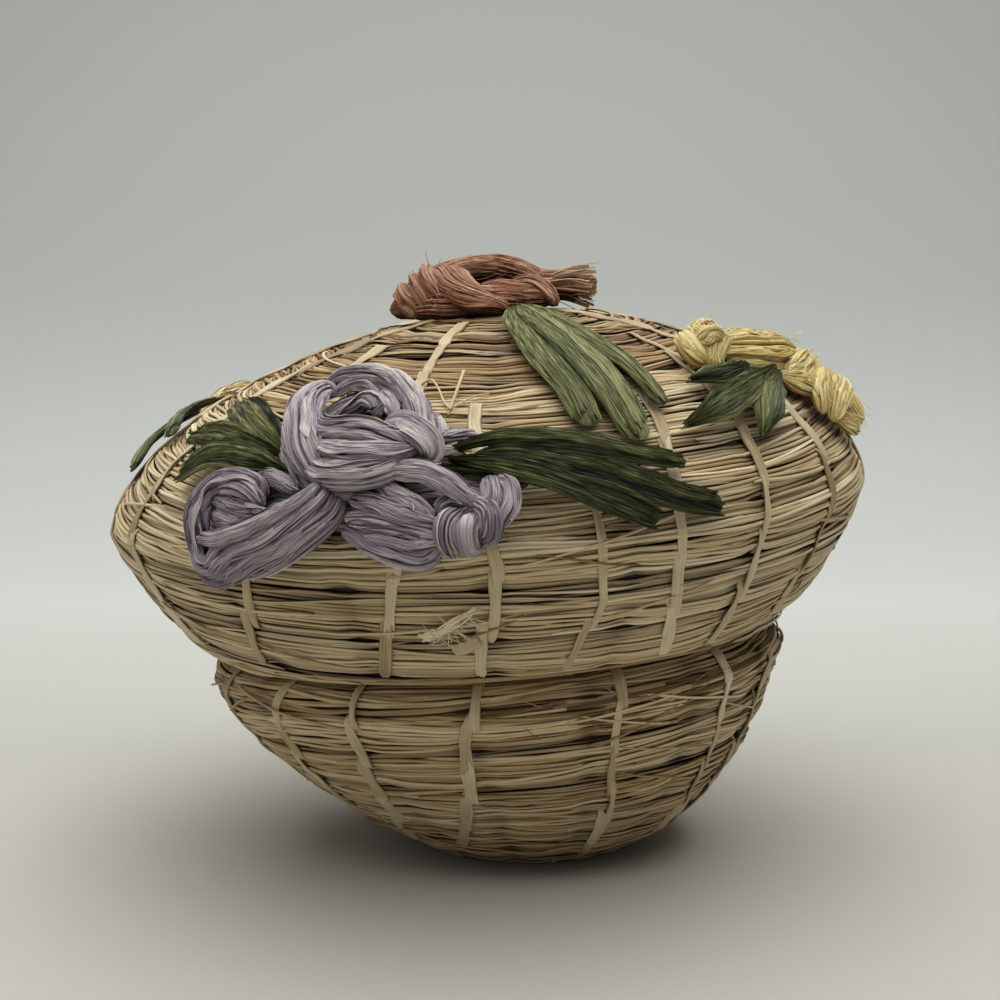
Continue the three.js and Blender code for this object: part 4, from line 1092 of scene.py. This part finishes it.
leaf("cream_leaf_a", 73, 8.0, [
    (-193, 83, 2.8), (-183, 85, 2.8), (-173, 91, 3), (-166, 97, 2.2),
], "cream_leaf_1", 0.04)
leaf("cream_leaf_b", 74, 6.0, [
    (-194, 78, 2.8), (-178, 80, 2.8), (-168, 83, 3), (-161, 86, 2.2),
], "cream_leaf_2", 0.04)


# Coral flower on the top of the dome: a dry, coarse bunch that is looped back on itself, crossed by
# a wide fold and wrapped at its left end. On the right it ends in a torn, flaring tuft.
coral = dyed_raffia(
    "coral raffia", steps=(
        (0.0, 104, 52, 28), (0.28, 152, 92, 60), (0.52, 178, 126, 92), (0.75, 200, 160, 126),
        (1.0, 226, 200, 170),
    ),
    dark=(78, 26, 12), streak=(0.25, 7.0), relief=0.00045, rough=0.55,
)


def on_top(across, back, lift):
    """A place by the top of the dome, in plan from its middle."""
    return on_lid(math.degrees(math.atan2(back, across)), math.hypot(across, back), lift)


CORAL_BUNCHES = (
    (9, 7, 12, 0.2, [(-16, 3, 4.2), (-6, 5, 4.6), (4, 4, 4.2), (11, 0, 4)]),
    (8.5, 6, 16, 0.3, [
        (-25, -3.5, 4.5), (-18.5, -1, 7.4), (-12.5, 1, 9.8), (-5, 2.5, 10.6), (1.5, 2.5, 10.3), (7, 1, 8.8),
        (12, -1.5, 6),
    ]),
    (7, 6, 14, 0.3, [(-26.5, -4, 4), (-22, -4.5, 4.4), (-17, -6.5, 4), (-11, -8.5, 3.6)]),
    (9, 7, 16, 0.3, [
        (-22, -7.5, 3.4), (-15, -10, 3.4), (-9, -11.5, 3), (-2, -10, 2.6), (5, -9, 2.6), (11, -7, 2.8),
    ]),
    (7.5, 6, 14, 0.3, [(-5, -6.5, 4.8), (0.5, -8.5, 4.4), (5, -9.5, 3.8), (10, -9, 3.4), (13, -6, 3.4)]),
    (11, 5.5, 18, 0.3, [(-14, 1, 10), (-11.5, -5.5, 9.6), (-8.5, -11.5, 6), (-4, -15, 3), (3, -15.5, 1)]),
    (4.4, 5, 8, 0.2, [(-18, 1, 8.4), (-19, -4, 9.2), (-18.5, -9, 6.2), (-17, -11.5, 1.8)]),
    (4.2, 5, 8, 0.2, [(-21.5, 0, 6.2), (-22.5, -4.5, 7.8), (-22, -9, 5.2), (-20.5, -10.5, 1.4)]),
    (4.4, 5, 8, 0.2, [(-15, 2, 10.2), (-16, -4, 11), (-15.5, -9.5, 8), (-13.5, -13, 2.2)]),
    (4.5, 4, 8, 0.2, [(3, -7, 5.8), (8, -8.5, 6.4), (12, -10.5, 4.2), (14.5, -12, 1.4)]),
)
coral_rng = np.random.default_rng(81)
coral_strands = []
for wide, tall, folds, twist, route in CORAL_BUNCHES:
    places = [on_top(*place) for place in route]
    coral_strands += gathered(coral_rng, places, wide, tall, folds, twist, ragged=3, crease=1.2)
    coral_strands += stray_fibres(coral_rng, places, tall / 2, 9)
make_piece("coral_flower", coral_strands, coral, "lid", ["coral_knot"], BUNCH_CRISP)

TUFT_RIBBONS = 110  # every second one is a hair
TUFT_STEM = [on_top(8, -2, 5.6), on_top(14, -3, 6), on_top(20.5, -4, 6)]
tuft_strands = gathered(coral_rng, TUFT_STEM, 8, 6.5, 14, 0.5, ends=(0.6, 1.15), ragged=2, crease=1.2)
for number in range(TUFT_RIBBONS):
    hair = number % 2
    spread, rise = coral_rng.normal(0, 1), coral_rng.normal(0, 1)
    route = [
        on_top(12, -3 + 0.9 * spread, 5.8 + 0.8 * rise),
        on_top(17.5, -3.6 + 2.0 * spread, 6.2 + 1.7 * rise),
        on_top(
            21.5 + coral_rng.uniform(0, 2.6), -4 + 2.4 * spread, 6 + 2.2 * rise + coral_rng.normal(0, 0.6),
        ),
    ]
    points, outs = smooth(route, 0.8)
    wide = coral_rng.uniform(0.12, 0.3) if hair else coral_rng.uniform(1.1, 2.5)
    tuft_strands.append(strand(
        points, outs, wide * np.linspace(1, 0.5, len(points)), min(0.4, wide), RIBBON_SECTION,
        coral_rng.normal(0.8, 0.2), coral_rng.random() * NUMBERS, roll=coral_rng.normal(0, 0.8), flank=0.2,
    ))
make_piece("coral_flower_tuft", tuft_strands, coral, "lid", ["coral_tuft"], BUNCH_CRISP)


# Yellow flower on the right: a glossy bunch knotted at its left end, laid along the back of the lid,
# folded down and rolled into a bud with a torn, open end.
yellow = dyed_raffia(
    "yellow raffia", steps=(
        (0.0, 176, 146, 62), (0.3, 212, 188, 108), (0.55, 232, 212, 142), (0.8, 244, 230, 176),
        (1.0, 253, 245, 208),
    ),
    dark=(166, 124, 46), streak=(0.3, 9.0), relief=0.0004, rough=0.4,
)
flower("yellow_flower_knot", None, (
    (7.5, 6, 11, 0.3, [(-45.5, 61, 4.8), (-46.5, 64.5, 4.6), (-46.5, 68.5, 3.4), (-45.5, 71.5, 2.4)]),
    (6.5, 5.5, 10, 0.6, [(-39, 62, 4.4), (-42.5, 64, 6.4), (-44, 66, 6.4), (-41, 67.5, 4.8)]),
    (3.6, 3.4, 7, 0.4, [(-45.5, 63.5, 6.4), (-43.5, 63.5, 8.2), (-41.5, 64.5, 8), (-42, 67.5, 6.6)]),
    (5, 4, 9, 0.2, [(-38, 66, 6.2), (-41, 68, 6.8), (-44, 70.5, 4.4), (-45.5, 73, 2.2)]),
    (5, 4, 9, 0.2, [(-47, 66.5, 5.6), (-44, 67, 7.8), (-41, 69, 6.4)]),
), 91, yellow, ["yellow_knot"], 10, 0.6)
flower("yellow_flower_roll", None, (
    (10.5, 8.5, 13, 0.2, [(-43, 68, 4.2), (-35, 69.5, 4.4), (-29, 71.5, 4.6), (-22, 73, 5), (-14, 75.5, 5)]),
    (6, 5, 9, 0.1, [(-41, 72, 3.4), (-34, 74, 3.6), (-26, 76, 3.6), (-20, 78, 3.6)]),
    (7.5, 6, 11, 0.3, [(-15, 75.5, 5.4), (-13.5, 79, 5), (-16, 81.5, 4.6), (-21, 82, 4.4)]),
    (5.5, 4.5, 9, 0.3, [(-15.5, 79.5, 5.6), (-21, 80, 6), (-28, 80.5, 4)]),
    (5.5, 4.5, 9, 0.3, [(-16.5, 81.5, 5.2), (-22, 83, 5.2), (-28, 85, 3.2)]),
), 92, yellow, ["yellow_roll"], 16, 0.5)
flower("yellow_flower_bud", None, (
    (9, 5.5, 13, 0.2, [(-29, 80, 2.8), (-25, 84, 3.6), (-20, 88, 4)]),
    (6.5, 4.5, 10, 0.3, [(-17, 84, 5), (-20.5, 86, 5.8), (-25, 89, 4.4), (-26.5, 93, 2)]),
    (6.5, 4.5, 10, 0.3, [(-14.5, 87, 5.4), (-18, 90, 6.6), (-22.5, 92.5, 5), (-25, 95.5, 2)]),
    (7, 4.5, 11, 0.2, [(-19, 84, 4), (-15.5, 87.5, 5), (-14, 92, 5), (-14.5, 96, 4.8), (-14.5, 100, 4)]),
    (6, 4, 10, 0.2, [(-23.5, 94, 2.4), (-21, 97, 3), (-17.5, 100.5, 3)]),
    (6, 3.5, 10, 0.1, [(-19, 91, 4), (-17.5, 95, 4.2), (-16, 100, 3.6)]),
), 93, yellow, ["yellow_bud"], 12, 0.6)


# Cream flower at the back left, of which only an edge shows from the front: a small bunch of undyed
# raffia, looped over itself and tied down like the others.
cream = dyed_raffia(
    "cream raffia", steps=(
        (0.0, 176, 152, 96), (0.3, 204, 184, 130), (0.55, 220, 204, 158), (1.0, 240, 230, 198),
    ),
    dark=(150, 120, 70), streak=(0.3, 9.0), relief=0.00035, rough=0.45,
)
flower("cream_flower_loops", None, (
    (8, 4, 11, 0.2, [(-215, 79, 3.0), (-207, 80, 3.6), (-199, 79, 3.4), (-192.5, 77, 3.0)]),
    (7, 4, 10, 0.2, [(-211, 75, 3.8), (-203, 83, 4.4), (-196.5, 86, 3.2)]),
    (4, 3, 8, 0.4, [(-209, 77, 5.0), (-203, 79, 5.6), (-198, 82, 4.6)]),
), 101, cream, ["cream_flower"])


# Loose ends. Odd thin stalks have worked out of the bundles and lie across them, a few stand up as a
# V on the dome, and low on the front a frayed tuft of pale fibres shows where a stitch has torn.
BOWL_CROSSING = 34
LID_CROSSING = 60
TORN_PLACE = (-96.6, 130.6)
TORN_STRIPS, TORN_HAIRS = 26, 38
TORN_STRIP_WIDTH = 3.2


def crossing_stalks(rng, wall, settle, reach, depth, count):
    """Thin stalks that run aslant over a wall, with both ends back among the others."""
    made = []
    for _ in range(count):
        share = np.linspace(0, 1, 18)
        start, middle = rng.uniform(0, 2 * math.pi), rng.uniform(*reach)
        away = at(wall, middle)[0][0]
        span, slant = rng.uniform(22, 55), rng.uniform(4, 11) * rng.choice([-1, 1])
        angle = start + share * span / away
        distance = middle + slant * (share - 0.5) + droop(middle, angle, depth)
        tucked = np.exp(-(share * 7) ** 2) + np.exp(-((1 - share) * 7) ** 2)
        lift = 0.5 + 0.2 * wave(rng, share * span, (19, 31)) - 1.3 * tucked
        points, outs = on_wall(wall, settle, angle, np.minimum(distance, wall["length"] - 1), lift)
        made.append(strand(
            points, outs, rng.uniform(0.45, 0.8), 0.5, STALK_SECTION, rng.normal(0.45, 0.2),
            rng.random() * NUMBERS, flank=0.5,
        ))
    return made


loose_rng = np.random.default_rng(111)
bowl_crossing = crossing_stalks(loose_rng, bowl_outside, settle_bowl, (40, bowl_end - 6), 0, BOWL_CROSSING)
make_piece("bowl_crossing_stalks", bowl_crossing, straw, "body", ["body_coil"])
lid_reach = (24, lid_outside["length"] - 16)
lid_crossing = crossing_stalks(loose_rng, lid_outside, place_lid, lid_reach, LID_DROOP, LID_CROSSING)
for wide, route in (
    (0.5, [
        (-105, 65.5, 0.2), (-102.6, 66.8, 1.9), (-100.6, 70, 1.6), (-98.9, 74.5, 1.2), (-97.3, 77.5, 0.9),
    ]),
    (0.75, [(-97.6, 78.5, 0.2), (-96.9, 71.5, 1.6), (-96.4, 65, 2.6)]),
    (0.35, [(-97.2, 77, 0.9), (-93.5, 73.5, 1.2), (-91, 72.2, 0.6)]),
):
    points, outs = smooth([on_lid(*place) for place in route], 1.2)
    lid_crossing.append(strand(points, outs, wide, wide, STALK_SECTION, 0.75, wide * NUMBERS, flank=0.4))
make_piece("lid_crossing_stalks", lid_crossing, straw, "lid", ["lid_coil"])

torn_fibres = []
for number in range(TORN_STRIPS + TORN_HAIRS):
    if number < TORN_STRIPS:
        wide, bend = loose_rng.uniform(0.35, 0.8), loose_rng.normal(0, 0.5, 4)
        route = [(-5.5, 4.6, 0.4), (-1.5, 2.6, 1.4), (2.5, -0.6, 1.5), (7.5, -3.2, 1)]
        route = [(x + b, y + 0.6 * loose_rng.normal(), z + 0.3 * b) for (x, y, z), b in zip(route, bend)]
        route = route[:2] if number < 12 else route[1:3] if number < 18 else route  # some are torn short
    else:
        wide, turn, reach = loose_rng.choice([0.12, 0.2]), loose_rng.normal(0.5, 1.2), loose_rng.uniform(2, 6)
        x, y = loose_rng.uniform(-4, 6), loose_rng.normal(0, 0.6)
        y += 2.4 - 0.75 * x
        route = [
            (x, y, 0.6), (x + 0.5 * reach * math.cos(turn), y - 0.3 * reach * math.sin(turn), 1.6),
            (x + reach * math.cos(turn), y - reach * math.sin(turn), loose_rng.uniform(0.4, 2.4)),
        ]
    points, outs = smooth([beside(TORN_PLACE, *place) for place in route], 0.9)
    torn_fibres.append(strand(
        points, outs, wide, min(wide, 0.3), PLAIN_SECTION, 1.15, wide * NUMBERS, flank=0.15,
    ))
torn_strip = [beside(TORN_PLACE, *place) for place in ((0.8, 9, 0.3), (3.5, 7.6, 1.2), (7, 6.2, 0.4))]
points, outs = smooth(torn_strip, 0.7)
torn_fibres.append(strand(points, outs, TORN_STRIP_WIDTH, 0.6, STRIP_SECTION, 0.5, 7.0, roll=0.3, flank=0.4))
make_piece("torn_stitch_fibres", torn_fibres, split_raffia, "lid", ["lid_stitches_13"])


# Brown straw. Just under the lid the bowl's last turn has a few darker stalks, caught in the bundle
# with the others, with fine broken fibres along them: partly brown straw, partly a painted shadow of the
# lid's edge.
BROWN_STALKS = 40
brown_straw = []
for _ in range(BROWN_STALKS):
    start, middle = loose_rng.uniform(-96, -48), loose_rng.uniform(88, 97)
    share = np.linspace(0, 1, 16)
    hair = loose_rng.random() < 0.4
    span = loose_rng.uniform(4, 9) if hair else loose_rng.uniform(14, 34)
    radius = at(bowl_outside, middle)[0][0]
    angle = math.radians(start) + share * span / radius
    distance = middle + (loose_rng.normal(0, 3) if hair else loose_rng.normal(0, 1.2)) * (share - 0.5)
    lift = (0.9 if hair else 0.45) * np.sin(math.pi * share) ** 0.5 - 0.5
    points, outs = on_wall(bowl_outside, settle_bowl, angle, np.minimum(distance, bowl_end - 1), lift)
    brown_straw.append(strand(
        points, outs, 0.18 if hair else loose_rng.uniform(0.6, 1.0), 0.18 if hair else 0.6, STALK_SECTION,
        loose_rng.normal(0.3 if hair else 0.0, 0.1), loose_rng.random() * NUMBERS,
        shade=0.1 if hair else 0.35, flank=0.6,
    ))
make_piece("bowl_brown_straw", brown_straw, straw, "body", ["body_coil"])


# The stage: a pale seamless floor that curves up behind, lit by a wide soft light from above, with a
# little light from the left, and the camera at the photograph's angle. Its sizes are in metres, but
# for the drop of the floor below the foot.
FLOOR_DROP = 0.2
SWEEP_START = 0.45
SWEEP_RADIUS = 1.1
BASKET_MIDDLE = (0, 0, 0.07)
CAMERA_PLACE = (-0.0085, -0.480, 0.140)
CAMERA_AIM = (-0.0065, 0, 0.087)


def facing(place, target):
    """The turn of a lamp or camera at a place, so that it looks at a target."""
    return (Vector(target) - Vector(place)).to_track_quat("-Z", "Y").to_euler()


sweep_turn = np.linspace(0, math.pi / 2, 33)
sweep = [(y, -FLOOR_DROP / 1000) for y in (-6.0, -1.6, -0.6, -0.3, 0.0, 0.2)] + [
    (SWEEP_START + SWEEP_RADIUS * math.sin(turn), SWEEP_RADIUS * (1 - math.cos(turn)) - FLOOR_DROP / 1000)
    for turn in sweep_turn
] + [(SWEEP_START + SWEEP_RADIUS, 2.6)]
backdrop_mesh = bpy.data.meshes.new("studio_sweep")
backdrop_mesh.from_pydata(
    [(x, y, z) for y, z in sweep for x in (-3, 3)], [],
    [(2 * i, 2 * i + 1, 2 * i + 3, 2 * i + 2) for i in range(len(sweep) - 1)],
)
backdrop_mesh.shade_smooth()
backdrop = bpy.data.objects.new("studio_sweep", backdrop_mesh)
bpy.context.scene.collection.objects.link(backdrop)
paper, paper_tree, paper_shader = new_finish("studio paper")
position = paper_tree.nodes.new("ShaderNodeNewGeometry").outputs["Position"]
split = paper_tree.nodes.new("ShaderNodeSeparateXYZ")
feed(paper_tree, position, split.inputs[0])
back = sums(paper_tree, "ADD", split.outputs[1], split.outputs[2])
# Pale paper whose colour steps darker and lighter with depth and height: painted light, the fall of light
# over floor and backdrop.
paper_tone_and_light = colour_steps(paper_tree, remap(paper_tree, back, -0.3, 2.0), (
    (0.0, 190, 187, 180), (0.12, 188, 186, 179), (0.17, 181, 180, 172), (0.29, 194, 196, 190),
    (0.47, 182, 185, 180), (0.62, 166, 169, 163), (0.71, 165, 167, 162), (1.0, 167, 166, 162),
))
feed(paper_tree, paper_tone_and_light, paper_shader.inputs["Base Color"])
paper_shader.inputs["Roughness"].default_value = 0.9
paper_shader.inputs["Specular IOR Level"].default_value = 0.1
backdrop_mesh.materials.append(paper)

world = bpy.data.worlds.new("studio")
world.use_nodes = True
world.node_tree.nodes["Background"].inputs["Color"].default_value = (0.95, 0.98, 1.0, 1.0)
world.node_tree.nodes["Background"].inputs["Strength"].default_value = 0.14
bpy.context.scene.world = world

for title, place, size, power in (
    ("softbox_above", (0.0, 0.05, 1.1), (1.5, 2.3), 27.0),
    ("softbox_left", (-1.1, -0.5, 0.7), (0.9, 0.9), 1.2),
):
    lamp = bpy.data.lights.new(title, "AREA")
    lamp.shape = "RECTANGLE"
    lamp.size, lamp.size_y = size
    lamp.energy = power
    box = bpy.data.objects.new(title, lamp)
    box.location = place
    box.rotation_euler = facing(place, BASKET_MIDDLE)
    bpy.context.scene.collection.objects.link(box)

camera_data = bpy.data.cameras.new("photo_camera")
camera_data.lens = 67.75
camera_data.sensor_width = 36
camera_data.clip_start = 0.01
camera = bpy.data.objects.new("photo_camera", camera_data)
camera.location = CAMERA_PLACE
camera.rotation_euler = facing(CAMERA_PLACE, CAMERA_AIM)
bpy.context.scene.collection.objects.link(camera)
bpy.context.scene.camera = camera
bpy.context.scene.view_settings.view_transform = "Standard"
